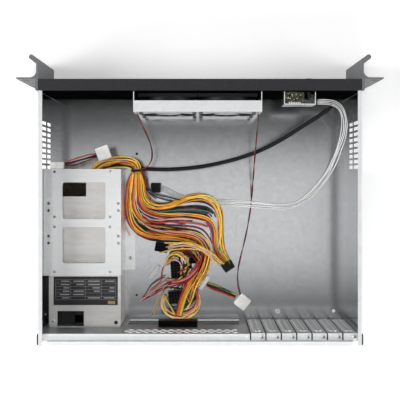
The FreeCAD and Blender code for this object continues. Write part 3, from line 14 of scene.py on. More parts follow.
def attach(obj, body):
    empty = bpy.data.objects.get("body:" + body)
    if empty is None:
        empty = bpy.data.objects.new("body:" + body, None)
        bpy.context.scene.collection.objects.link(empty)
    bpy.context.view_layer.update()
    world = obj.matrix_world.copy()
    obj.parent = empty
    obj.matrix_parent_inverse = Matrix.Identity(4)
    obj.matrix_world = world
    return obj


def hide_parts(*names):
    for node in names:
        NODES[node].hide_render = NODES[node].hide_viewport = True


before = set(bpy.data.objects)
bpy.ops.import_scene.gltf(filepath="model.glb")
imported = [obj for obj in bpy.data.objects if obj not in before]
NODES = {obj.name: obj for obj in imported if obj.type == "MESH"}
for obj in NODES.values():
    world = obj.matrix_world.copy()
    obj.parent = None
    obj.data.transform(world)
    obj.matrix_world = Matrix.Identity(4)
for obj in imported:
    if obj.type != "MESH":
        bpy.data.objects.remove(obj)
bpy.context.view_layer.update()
SCENE = bpy.context.scene
NOISE_SEED = 4
noise.seed_set(NOISE_SEED)  # so that the wires sway alike on each run


def mm(*numbers):
    """Millimetres as a vector in metres."""
    return Vector(numbers) / 1000


def angles(count):
    """Equal steps round a circle."""
    return [2 * math.pi * k / count for k in range(count)]


def node(tree, kind, sockets, **settings):
    """Adds a shader node. Each socket takes a value or another node's output."""
    made = tree.nodes.new(f"ShaderNode{kind}")
    for name, value in settings.items():
        setattr(made, name, value)
    for socket, value in sockets.items():
        if isinstance(value, bpy.types.NodeSocket):
            tree.links.new(value, made.inputs[socket])
        else:
            made.inputs[socket].default_value = value
    return made


# -------------------- camera and light
EYE = (0, -0.03175, 1.3265)
FOCAL_LENGTH, SENSOR_WIDTH = 81.9, 36
VIEW_SHIFT = -0.06
FAR_CLIP = 10
WORLD_STRENGTH = 0.04
FLOOR_SIDES, FLOOR_RADIUS, WALL_HEIGHT = 48, 20, 14
FLOOR_DROP = 0.0005
FLOOR_TONE, FLOOR_ROUGHNESS = (0.94, 0.94, 0.94), 0.9
# The floor's glow, near and far: a distance from the middle and the strength there. The weaker
# glow near the middle paints a shade on the floor round the case.
GLOW_NEAR, GLOW_FAR = (0.5, 0.3), (3, 0.97)

# Each lamp: its place, the point that it looks at, its two sides and its surface's brightness.
LAMPS = {
    "overhead": ((0, 0.12, 2.2), (0, 0.12, 0), (1.02, 0.42), 0.95),
    "overhead_edge": ((-0.02, 0.125, 2.2), (-0.02, 0.125, 0), (1.22, 0.61), 0.55),
    "left": ((1.9, 0.1, 1.9), (0, 0, 0.05), (1.2, 1.2), 8.5),
    "right": ((-1.9, 0.1, 1.9), (0, 0, 0.05), (1.2, 1.2), 5),
    "front": ((0, -1.9, 1.9), (0, 0, 0.05), (1.2, 1.2), 2),
    "rear": ((0, 1.95, 1.9), (0, 0, 0.05), (1.2, 1.2), 6),
}


def camera():
    """Straight down on the open case, with the front at the top of the picture."""
    lens = bpy.data.cameras.new("camera")
    lens.lens, lens.sensor_width = FOCAL_LENGTH, SENSOR_WIDTH
    lens.shift_y = VIEW_SHIFT
    lens.clip_end = FAR_CLIP
    eye = bpy.data.objects.new("camera", lens)
    eye.location = EYE
    eye.rotation_euler = (0, 0, math.pi)
    SCENE.collection.objects.link(eye)
    SCENE.camera = eye


def dim_world():
    """A dim white world, and colours that render as they are written."""
    world = bpy.data.worlds.new("studio")
    world.use_nodes = True
    background = world.node_tree.nodes["Background"]
    background.inputs["Color"].default_value = (1, 1, 1, 1)
    background.inputs["Strength"].default_value = WORLD_STRENGTH
    SCENE.world = world
    SCENE.view_settings.view_transform = "Standard"


def lamp(name, spot, aim, size, bright):
    """A soft rectangular lamp that looks at a point, with its surface's brightness."""
    light = bpy.data.lights.new(name, "AREA")
    light.shape = "RECTANGLE"
    light.size, light.size_y = size
    light.energy = bright * math.pi * size[0] * size[1]
    thing = bpy.data.objects.new(name, light)
    thing.location = spot
    thing.rotation_euler = (Vector(aim) - Vector(spot)).to_track_quat("-Z", "Y").to_euler()
    SCENE.collection.objects.link(thing)


def floor_white():
    """White paint and a glow that only the camera and gloss see, with less glow near the case as
    painted shade.
    """
    white = bpy.data.materials.new("floor_white")
    white.use_nodes = True
    tree = white.node_tree
    paint = tree.nodes["Principled BSDF"]
    paint.inputs["Base Color"].default_value = (*FLOOR_TONE, 1)
    paint.inputs["Roughness"].default_value = FLOOR_ROUGHNESS
    ray = node(tree, "LightPath", {}).outputs
    seen = node(tree, "Math", {0: ray["Is Camera Ray"], 1: ray["Is Glossy Ray"]},
                operation="ADD", use_clamp=True)
    place = node(tree, "NewGeometry", {})
    away = node(tree, "VectorMath", {0: place.outputs["Position"]}, operation="LENGTH")
    far = node(tree, "MapRange", {
        "Value": away.outputs["Value"], "From Min": GLOW_NEAR[0], "From Max": GLOW_FAR[0],
        "To Min": GLOW_NEAR[1], "To Max": GLOW_FAR[1],
    }, interpolation_type="SMOOTHSTEP")
    level = node(tree, "Math", {0: seen.outputs[0], 1: far.outputs["Result"]},
                 operation="MULTIPLY")
    glow = node(tree, "Emission", {"Strength": level.outputs[0]})
    both = node(tree, "AddShader", {0: paint.outputs[0], 1: glow.outputs[0]})
    tree.links.new(both.outputs[0], tree.nodes["Material Output"].inputs["Surface"])
    return white


def white_floor():
    """A wide white disc under the case, with a white wall round its edge."""
    plane = bpy.data.meshes.new("floor")
    spots = [(FLOOR_RADIUS * math.cos(a), FLOOR_RADIUS * math.sin(a), z)
             for z in (0, WALL_HEIGHT) for a in angles(FLOOR_SIDES)]
    wall = [(k, k + FLOOR_SIDES, (k + 1) % FLOOR_SIDES + FLOOR_SIDES, (k + 1) % FLOOR_SIDES)
            for k in range(FLOOR_SIDES)]
    plane.from_pydata(spots, [], [tuple(range(FLOOR_SIDES)), *wall])
    floor = bpy.data.objects.new("floor", plane)
    floor.location.z = -FLOOR_DROP
    plane.materials.append(floor_white())
    SCENE.collection.objects.link(floor)


# -------------------- materials
BUMP_DEPTH = 0.0003


def ramp(tree, share, low, high, dark=(0, 0, 0), light=(1, 1, 1)):
    """A colour that turns from dark to light where a pattern goes from low to high."""
    turn = node(tree, "ValToRGB", {"Fac": share})
    for stop, position, tone in zip(turn.color_ramp.elements, (low, high), (dark, light)):
        stop.position, stop.color = position, (*tone, 1)
    return turn.outputs["Color"]


def clouds(tree, place, scale, detail, roughness=0.5):
    """A soft pattern of noise."""
    noisy = {"Vector": place, "Scale": scale, "Detail": detail, "Roughness": roughness}
    return node(tree, "TexNoise", noisy).outputs["Fac"]


def two_tones(tree, place, kind, size, dark, light):
    """The finish's two tones: flat flakes, as on a hot-dipped sheet, or soft clouds."""
    if kind == "spangle":
        flakes = node(tree, "TexVoronoi", {"Vector": place, "Scale": 1 / size})
        split = node(tree, "SeparateColor", {0: flakes.outputs["Color"]})
        return ramp(tree, split.outputs[0], 0, 1, dark, light)
    return ramp(tree, clouds(tree, place, 1 / size, 4), 0.3, 0.7, dark, light)


def scuffed(tree, place, size, tone, worn, share):
    """A tone with a worn one over a share of the surface."""
    where = ramp(tree, clouds(tree, place, 0.6 / size, 8, 0.7), 1 - share,
                 min(1, 1 - share + 0.08))
    blend = node(tree, "Mix", {"Factor": where, "A": tone, "B": (*worn, 1)}, data_type="RGBA")
    return blend.outputs["Result"]


def surface(name, dark, light, rough, metal=0.0, size=0.01, kind="noise", stretch=(1, 1, 1),
            vary=0.06, bump=0.0, grain=0.0008, coat=0.0, gloss=0.5, wear=None):
    """A procedural finish: two tones mixed by a pattern, varied roughness and fine bump.

    size is the pattern's scale and grain the bump's, in metres. wear is a third tone for the
    scuffs, with the share of the surface that they take.
    """
    skin = bpy.data.materials.new(name)
    skin.use_nodes = True
    tree = skin.node_tree
    shader = tree.nodes["Principled BSDF"]
    for socket, value in (("Metallic", metal), ("Specular IOR Level", gloss),
                          ("Coat Weight", coat), ("Coat Roughness", 0.2)):
        shader.inputs[socket].default_value = value
    where = node(tree, "TexCoord", {})
    place = node(tree, "Mapping", {"Vector": where.outputs["Object"], "Scale": stretch})
    place = place.outputs["Vector"]
    tone = two_tones(tree, place, kind, size, dark, light)
    if wear:
        tone = scuffed(tree, place, size, tone, *wear)
    tree.links.new(tone, shader.inputs["Base Color"])
    fine = clouds(tree, place, 0.25 / size, 6)
    spread = node(tree, "MapRange", {"Value": fine, "To Min": rough - vary,
                                     "To Max": rough + vary})
    tree.links.new(spread.outputs["Result"], shader.inputs["Roughness"])
    if bump:
        grit = clouds(tree, place, 1 / grain, 2)
        lift = node(tree, "Bump", {"Strength": bump, "Distance": BUMP_DEPTH, "Height": grit})
        tree.links.new(lift.outputs["Normal"], shader.inputs["Normal"])
    return skin


ZINC = surface("zinc_sheet", (0.56, 0.57, 0.58), (0.6, 0.61, 0.62), 0.15, 1, 0.006, "spangle",
               vary=0.01, bump=0.03, grain=0.002, wear=((0.55, 0.56, 0.57), 0.4))
# The rear panel's zinc in two painted copies: a light one for its lit top and outside, and a dark
# one for its inside face, which stands in shade.
REAR_LIT = surface("rear_painted_light", (0.9, 0.91, 0.92), (0.94, 0.95, 0.96), 0.42, 0.15, 0.006,
                    "spangle", vary=0.03, bump=0.05, grain=0.002)
REAR_SHADED = surface("rear_painted_shade", (0.4, 0.41, 0.42), (0.47, 0.48, 0.49), 0.4, 0.6, 0.006,
                     "spangle", vary=0.03, bump=0.05, grain=0.002)
# A lighter copy of the zinc sheet, painted light: the tray's top rims, the brackets' tops, the
# standoff, the slot covers and their beads get this brighter tone for the light that falls on
# them.
ZINC_LIT_COPY = surface("zinc_painted_light", (0.89, 0.9, 0.91), (0.95, 0.96, 0.97), 0.35, 0.35, 0.008,
                      "spangle", vary=0.05, bump=0.05, grain=0.002)
TRAY_STEEL = surface("tray_steel", (0.92, 0.93, 0.94), (0.97, 0.98, 0.98), 0.24, 0.65, 0.03,
                     stretch=(1, 6, 1), vary=0.03, bump=0.05, grain=0.001)
PSU_STEEL = surface("psu_steel", (0.84, 0.82, 0.79), (0.93, 0.92, 0.9), 0.3, 0.75, 0.02,
                    stretch=(1, 5, 1), vary=0.03, bump=0.04, grain=0.001)
PAINT = surface("bezel_paint", (0.02, 0.02, 0.023), (0.028, 0.028, 0.031), 0.55, 0, 0.004,
                bump=0.3, grain=0.0007, gloss=0.3)
EAR_PAINT = surface("ear_paint", (0.14, 0.145, 0.155), (0.17, 0.175, 0.185), 0.5, 0, 0.004,
                    bump=0.35, grain=0.0007)
# Black paint on the front wall, made near black, darker than the bezel's paint, to paint in the
# shade on its inside face.
WALL_PAINT_AND_SHADE = surface("inner_paint", (0.002, 0.002, 0.002), (0.005, 0.005, 0.006), 0.8, 0, 0.02,
                      bump=0.2, grain=0.001, gloss=0)
FAN_BLACK = surface("fan_plastic", (0.012, 0.012, 0.013), (0.022, 0.022, 0.024), 0.45, 0, 0.003,
                    bump=0.12, grain=0.0005, gloss=0.35)
BLACK = surface("black_plastic", (0.012, 0.012, 0.013), (0.022, 0.022, 0.024), 0.42, 0, 0.003,
                bump=0.15, grain=0.0005, gloss=0.3)
GLOSS_BLACK = surface("gloss_plastic", (0.016, 0.016, 0.017), (0.024, 0.024, 0.026), 0.22, 0,
                      0.006, vary=0.04, bump=0.03, grain=0.001)
BLACK_NYLON = surface("black_nylon", (0.006, 0.006, 0.007), (0.016, 0.016, 0.017), 0.4, 0,
                      0.004, bump=0.1, grain=0.0006, gloss=0.2)
WHITE_NYLON = surface("white_nylon", (0.82, 0.81, 0.78), (0.92, 0.91, 0.89), 0.42, 0, 0.005,
                      bump=0.1, grain=0.0008)
RUBBER = surface("strip_rubber", (0.012, 0.012, 0.012), (0.022, 0.022, 0.022), 0.75, 0, 0.002,
                 bump=0.4, grain=0.0006)
SCREW = surface("screw_steel", (0.7, 0.7, 0.71), (0.84, 0.84, 0.85), 0.3, 0.8, 0.002,
                bump=0.1, grain=0.0003)
DARK_SCREW = surface("dark_screw", (0.05, 0.05, 0.055), (0.1, 0.1, 0.11), 0.35, 1, 0.002,
                     bump=0.1, grain=0.0003)
SHELL = surface("socket_shell", (0.42, 0.43, 0.44), (0.54, 0.55, 0.56), 0.25, 1, 0.005,
                stretch=(1, 4, 1), bump=0.05, grain=0.0006)
WIRE_PLATE = surface("guard_wire", (0.7, 0.71, 0.73), (0.8, 0.81, 0.83), 0.2, 1, 0.003,
                     bump=0.03, grain=0.0005)
OLIVE = surface("port_board", (0.03, 0.034, 0.014), (0.08, 0.084, 0.036), 0.45, 0, 0.002,
                bump=0.15, grain=0.0006, gloss=0.3)
BROWN_BOARD = surface("psu_board", (0.1, 0.07, 0.035), (0.26, 0.19, 0.1), 0.55, 0, 0.01,
                      bump=0.3, grain=0.002)
LENS = surface("lamp_lens", (0.5, 0.54, 0.5), (0.62, 0.66, 0.62), 0.15, 0, 0.003, bump=0.02,
               coat=0.3)
SLEEVE = surface("sleeve", (0.003, 0.003, 0.004), (0.022, 0.022, 0.024), 0.5, 0, 0.0012,
                 bump=0.5, grain=0.0008, gloss=0.1)
LABEL = surface("label_black", (0.01, 0.01, 0.011), (0.02, 0.02, 0.022), 0.35, 0, 0.01,
                bump=0.03, grain=0.001)
LABEL_GREY = surface("label_grey", (0.3, 0.3, 0.31), (0.42, 0.42, 0.43), 0.4, 0, 0.003)
LABEL_GOLD = surface("label_gold", (0.34, 0.24, 0.08), (0.48, 0.36, 0.14), 0.35, 0.2, 0.003)
# Near black painted into recesses as their shade: connector cells, screw recesses and the floor
# holes' caps.
RECESS_SHADE = surface("painted_recess_shade", (0.003, 0.003, 0.003), (0.008, 0.008, 0.008), 0.7, 0, 0.003)
STICKER = surface("sticker_white", (0.74, 0.74, 0.73), (0.84, 0.84, 0.83), 0.45, 0, 0.01,
                  bump=0.03, grain=0.001)

INSULATION = {
    "yellow": ((0.93, 0.62, 0.05), (1.0, 0.78, 0.16)),
    "orange": ((0.84, 0.26, 0.015), (0.92, 0.36, 0.04)),
    "red": ((0.5, 0.025, 0.02), (0.66, 0.06, 0.04)),
    "crimson": ((0.16, 0.012, 0.018), (0.3, 0.025, 0.03)),
    "pink": ((0.72, 0.36, 0.33), (0.84, 0.5, 0.46)),
    "olive": ((0.36, 0.34, 0.05), (0.5, 0.47, 0.1)),
    "green": ((0.03, 0.2, 0.07), (0.06, 0.3, 0.12)),
    "blue": ((0.02, 0.06, 0.24), (0.05, 0.12, 0.36)),
    "purple": ((0.09, 0.04, 0.16), (0.16, 0.08, 0.26)),
    "white": ((0.9, 0.9, 0.89), (0.97, 0.97, 0.96)),
    "black": ((0.004, 0.004, 0.005), (0.012, 0.012, 0.013)),
}
WIRE = {
    name: surface(f"wire_{name}", dark, light, 0.36, 0, 0.006, vary=0.08, bump=0.06,
                  grain=0.0015, gloss=0.3)
    for name, (dark, light) in INSULATION.items()
}


# -------------------- mesh helpers
MOULDED_EDGE = 0.00025


def piece(name, builder, skins, replaces=(), soften=0.0):
    """Turns what was built into a finished piece, its edges rounded by soften metres."""
    mesh = bpy.data.meshes.new(name)
    builder.to_mesh(mesh)
    builder.free()
    for skin in skins:
        mesh.materials.append(skin)
    thing = bpy.data.objects.new(name, mesh)
    SCENE.collection.objects.link(thing)
    if soften:
        edge = thing.modifiers.new("edges", "BEVEL")
        edge.width, edge.segments, edge.limit_method = soften, 2, "ANGLE"
        edge.angle_limit = math.radians(50)
    if replaces:
        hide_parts(*replaces)
    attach(thing, "case")
    return thing


def bridge(builder, rings):
    """Joins each closed ring of points to the next, and returns the faces."""
    faces = []
    for one, two in zip(rings, rings[1:]):
        for k in range(len(one)):
            after = (k + 1) % len(one)
            faces.append(builder.faces.new((one[k], one[after], two[after], two[k])))
    return faces


def join(builder, shape, matrix):
    """Moves a shape into place and adds it to what is being built."""
    bmesh.ops.transform(shape, matrix=matrix, verts=shape.verts)
    mesh = bpy.data.meshes.new("shape")
    shape.to_mesh(mesh)
    shape.free()
    builder.from_mesh(mesh)
    bpy.data.meshes.remove(mesh)


def block(builder, matrix, size, at=(0, 0, 0), skin=0):
    """A plain block of a larger piece, its size and place in millimetres."""
    shape = bmesh.new()
    bmesh.ops.create_cube(shape, size=1)
    bmesh.ops.scale(shape, vec=mm(*size), verts=shape.verts)
    bmesh.ops.translate(shape, vec=mm(*at), verts=shape.verts)
    for face in shape.faces:
        face.material_index = skin
    join(builder, shape, matrix)


def sheet(builder, low, high, skin=0):
    """A thin flat patch between two corners in millimetres."""
    size = [b - a for a, b in zip(low, high)]
    middle = [(a + b) / 2 for a, b in zip(low, high)]
    block(builder, Matrix.Translation(mm(*middle)), size, skin=skin)


# -------------------- cords
# The points that steer each cord, in millimetres.
ROUTES = {
    "psu_harness": [(150, -24, 50), (149.6, -35, 50), (141, -45.5, 51), (126, -50.5, 51.5),
     (109, -52, 50), (97, -50.5, 46.5), (90, -45, 44), (90, -36.5, 44)],
    "harness_board": [(98.6, -36.5, 44), (98.6, -22.5, 44), (100.8, -3.3, 34), (103.1, 12.6, 25),
     (101.9, 28.7, 17), (95, 42.8, 11), (80.7, 53.8, 6.5), (58.1, 58.9, 4.7), (33.4, 59.5, 4.6),
     (11.6, 61.9, 4.6), (-2.2, 72.8, 4.6), (-4.9, 90.2, 5), (2, 106.6, 8), (12.3, 120.4, 14),
     (20.1, 133, 23), (24.9, 144.5, 33), (28.2, 154.4, 43), (29.9, 163.5, 54)],
    "harness_drive": [(92.4, -36.5, 44.3), (92.4, -22.5, 44.3), (94.7, -3.4, 36), (94.3, 11.1, 28),
     (90, 24.2, 20.5), (80.7, 35.3, 15), (65.7, 43.4, 12), (46.3, 47.5, 11), (26, 48.6, 11),
     (6.5, 52.1, 11), (-6.9, 62.2, 11.5), (-13, 78, 12), (-11.3, 95.5, 11), (-5.2, 110.8, 10),
     (3.2, 123.5, 9.5), (12.6, 131.8, 9.5)],
    "harness_fan": [(86.8, -36.5, 44), (86.8, -22.5, 44), (87.9, -4.8, 37), (86.1, 7.9, 29.5),
     (78.4, 18.1, 24), (65.3, 24, 20), (46, 26.9, 18), (25.9, 26.5, 18), (5.8, 27.2, 18),
     (-11, 30.9, 15), (-19.7, 43.5, 10.5), (-20.3, 62.5, 7), (-24, 79.3, 5), (-29.9, 87.3, 5.2),
     (-36, 93.5, 6)],
    "harness_cpu": [(81.1, -36.5, 44.3), (81.1, -22.5, 44.3), (80.6, -4.2, 39), (75.1, 6.6, 33),
     (63, 12.4, 29.5), (46.4, 11.9, 28), (30, 5.4, 27), (13.6, -0.9, 27), (-3.6, -2.6, 26),
     (-18.6, 3.4, 24.5), (-27.7, 17, 21.5), (-30.8, 35.1, 18), (-30.1, 54.8, 14),
     (-32.1, 72.3, 11), (-36.2, 82.3, 9.8), (-41.3, 90.1, 8.5)],
    "sata_lead": [(44.5, 70.8, 8), (33.9, 67.6, 12.5), (19.4, 65.5, 18), (4.3, 68.5, 20),
     (-8.6, 75.2, 20), (-19.3, 84.7, 16.8), (-31.3, 95.9, 9)],
    "spare_lead": [(1.4, 99.7, 19), (10.8, 113.3, 19.3), (24.5, 121.9, 17), (39.7, 124.4, 13.5),
     (55.7, 130.7, 9), (70.4, 140.3, 5.5), (85, 148.5, 3.6)],
    "loop_lead": [(6.4, 134.7, 3.6), (2, 144.9, 3.6), (1.7, 156.5, 3.7), (9, 167.4, 4),
     (23.3, 174, 4), (38.5, 173.7, 4), (51.2, 165.3, 4), (56.7, 151.4, 4), (50.2, 141.1, 5)],
    "arc_lead": [(46.1, 97.2, 8), (45.7, 89, 9.5), (39.6, 82.7, 11), (30.8, 80.9, 12),
     (23.1, 85, 11.5), (19.5, 93.8, 10.5), (19, 104.3, 9.5), (19.8, 116.6, 9), (22.3, 131.3, 8.5)],
    "fan_lead_left": [(84.5, -115.2, 106), (77.9, -99.5, 94), (69.5, -82.4, 82),
     (65.8, -66.3, 70.5), (67, -53.3, 61), (73.7, -43.5, 55.5), (85, -40.5, 52)],
    "fan_lead_right": [(-78.2, -115.3, 104), (-78.2, -96.2, 91), (-76.8, -75.7, 77),
     (-75.9, -55.4, 61.5), (-75.8, -34.6, 40), (-75.5, -14.5, 17), (-74.8, 4.6, 2.6),
     (-72.5, 23.5, 2.4), (-69, 43.9, 2.4), (-64.5, 64.3, 2.4), (-59.4, 84.7, 2.4),
     (-55.3, 103.5, 3), (-54, 120.7, 5), (-56.9, 134.2, 8.5)],
    "usb_cable": [(-176.7, -124.7, 108), (-161.2, -113, 104), (-139.4, -99.4, 95),
     (-117.5, -85, 83), (-94, -71.5, 69), (-67, -60.3, 57), (-36.5, -51.7, 49), (-4.2, -45, 45),
     (28.2, -41.6, 43.5), (56.4, -40.8, 43), (82.2, -42.2, 44)],
    "panel_leads": [(-157.3, -131, 108), (-174.6, -132, 104), (-191.3, -125.4, 92),
     (-200.2, -109.1, 70), (-201.9, -89.4, 46), (-199.7, -69, 24), (-192.5, -47.7, 9.5),
     (-178.7, -24.5, 4.2), (-161.4, -4.1, 3.6), (-141, 9.4, 4), (-116.1, 13.1, 6),
     (-89.9, 11.2, 6.8), (-63.8, 8.3, 6.8), (-37.8, 6.3, 5), (-11.6, 4.9, 4), (11.6, 2.4, 5),
     (31.9, -2.8, 9), (46.9, -10.4, 13), (55.8, -13.6, 14.5)],
    "ribbon_right": [(-10, 125.6, 6.5), (-23.2, 130.5, 8), (-38.4, 136.5, 8), (-51.6, 143, 7)],
    "ribbon_left": [(144.1, -60.2, 62), (157.7, -55.8, 67.5), (171.6, -51.8, 75),
     (185, -48.1, 79.6)],
}

# Each cord: what it and each wire measure across, how far apart its wires lie (0 for a twisted
# pair), the far end, the piece on it, and its wires: the upper row from the route's left to its
# right, then the lower.
CORDS = {
    "psu_harness": (10, 1.8, 0.72, "object", "cable_tie",
                    "yellow yellow orange yellow orange red black yellow",
                    "black pink blue black orange black green"),
    "harness_board": (6, 1.65, 0.72, "connector", "board_plug",
                      "yellow yellow orange orange red", "black black red black purple black"),
    "harness_drive": (5, 1.55, 0.72, "connector", "black_plugs",
                      "yellow pink orange red yellow", "black black orange black"),
    "harness_fan": (5, 1.55, 0.72, "connector", "black_plugs",
                    "yellow orange orange red pink", "red black purple black"),
    "harness_cpu": (5, 1.65, 0.72, "connector", "black_plugs",
                    "orange yellow yellow orange", "black yellow black black"),
    "sata_lead": (4.5, 1.4, 0.8, "connector", "black_plugs",
                  "yellow white pink yellow", "black black orange"),
    "spare_lead": (3.5, 1.4, 1.2, "bare", "", "crimson pink", "red black"),
    "loop_lead": (4, 1.4, 0.9, "connector", "black_plugs", "yellow pink yellow", "red black"),
    "arc_lead": (4, 1.4, 0.9, "connector", "black_plugs", "yellow pink yellow", "black red"),
    "fan_lead_left": (2.6, 1.2, 0, "connector", "white_plugs", "crimson", "black"),
    "fan_lead_right": (2.6, 1.2, 0, "connector", "white_plugs", "crimson", "black"),
    "panel_leads": (4.5, 1.45, 3, "connector", "black_plugs", "white white white white", ""),
    "ribbon_right": (6, 1.8, 0.62, "connector", "white_plugs", "olive black black red", ""),
    "ribbon_left": (6, 1.8, 0.62, "connector", "white_plugs", "crimson black black red", ""),
}

# Dark wires between two looms: the looms' names, how many wires, the share of the first loom
# where they start and end, how much further along they run on the second, and their colours.
FILLERS = [
    ("harness_fan", "harness_cpu", 12, 0.1, 0.72, 0, "black black black purple black crimson"),
    ("harness_drive", "harness_fan", 9, 0.1, 0.62, 0, "black black crimson black purple"),
    ("harness_board", "harness_drive", 9, 0.1, 0.9, 0, "black black orange black"),
    ("psu_harness", "psu_harness", 4, 0.05, 0.95, 0, "black pink black"),
    ("arc_lead", "sata_lead", 7, 0.05, 0.6, 0, "black black crimson"),
    ("arc_lead", "loop_lead", 8, 0.1, 0.95, 0, "crimson black pink black yellow"),
    ("spare_lead", "spare_lead", 7, 0.05, 0.98, 0, "pink crimson pink black"),
    ("loop_lead", "loop_lead", 6, 0, 0.95, 0, "pink yellow black crimson"),
    ("harness_board", "harness_board", 6, 0.55, 0.97, 0, "black red black orange yellow"),
    ("sata_lead", "spare_lead", 9, 0.05, 0.6, 0, "black crimson black pink black"),
    ("arc_lead", "arc_lead", 5, 0.1, 0.98, 0, "pink black yellow crimson"),
    ("sata_lead", "arc_lead", 6, 0.25, 0.95, 0, "black black orange crimson"),
    ("arc_lead", "harness_board", 9, 0.02, 0.5, 0.47, "black black crimson black orange"),
    ("spare_lead", "loop_lead", 9, 0.05, 0.65, 0, "crimson black pink black red"),
]

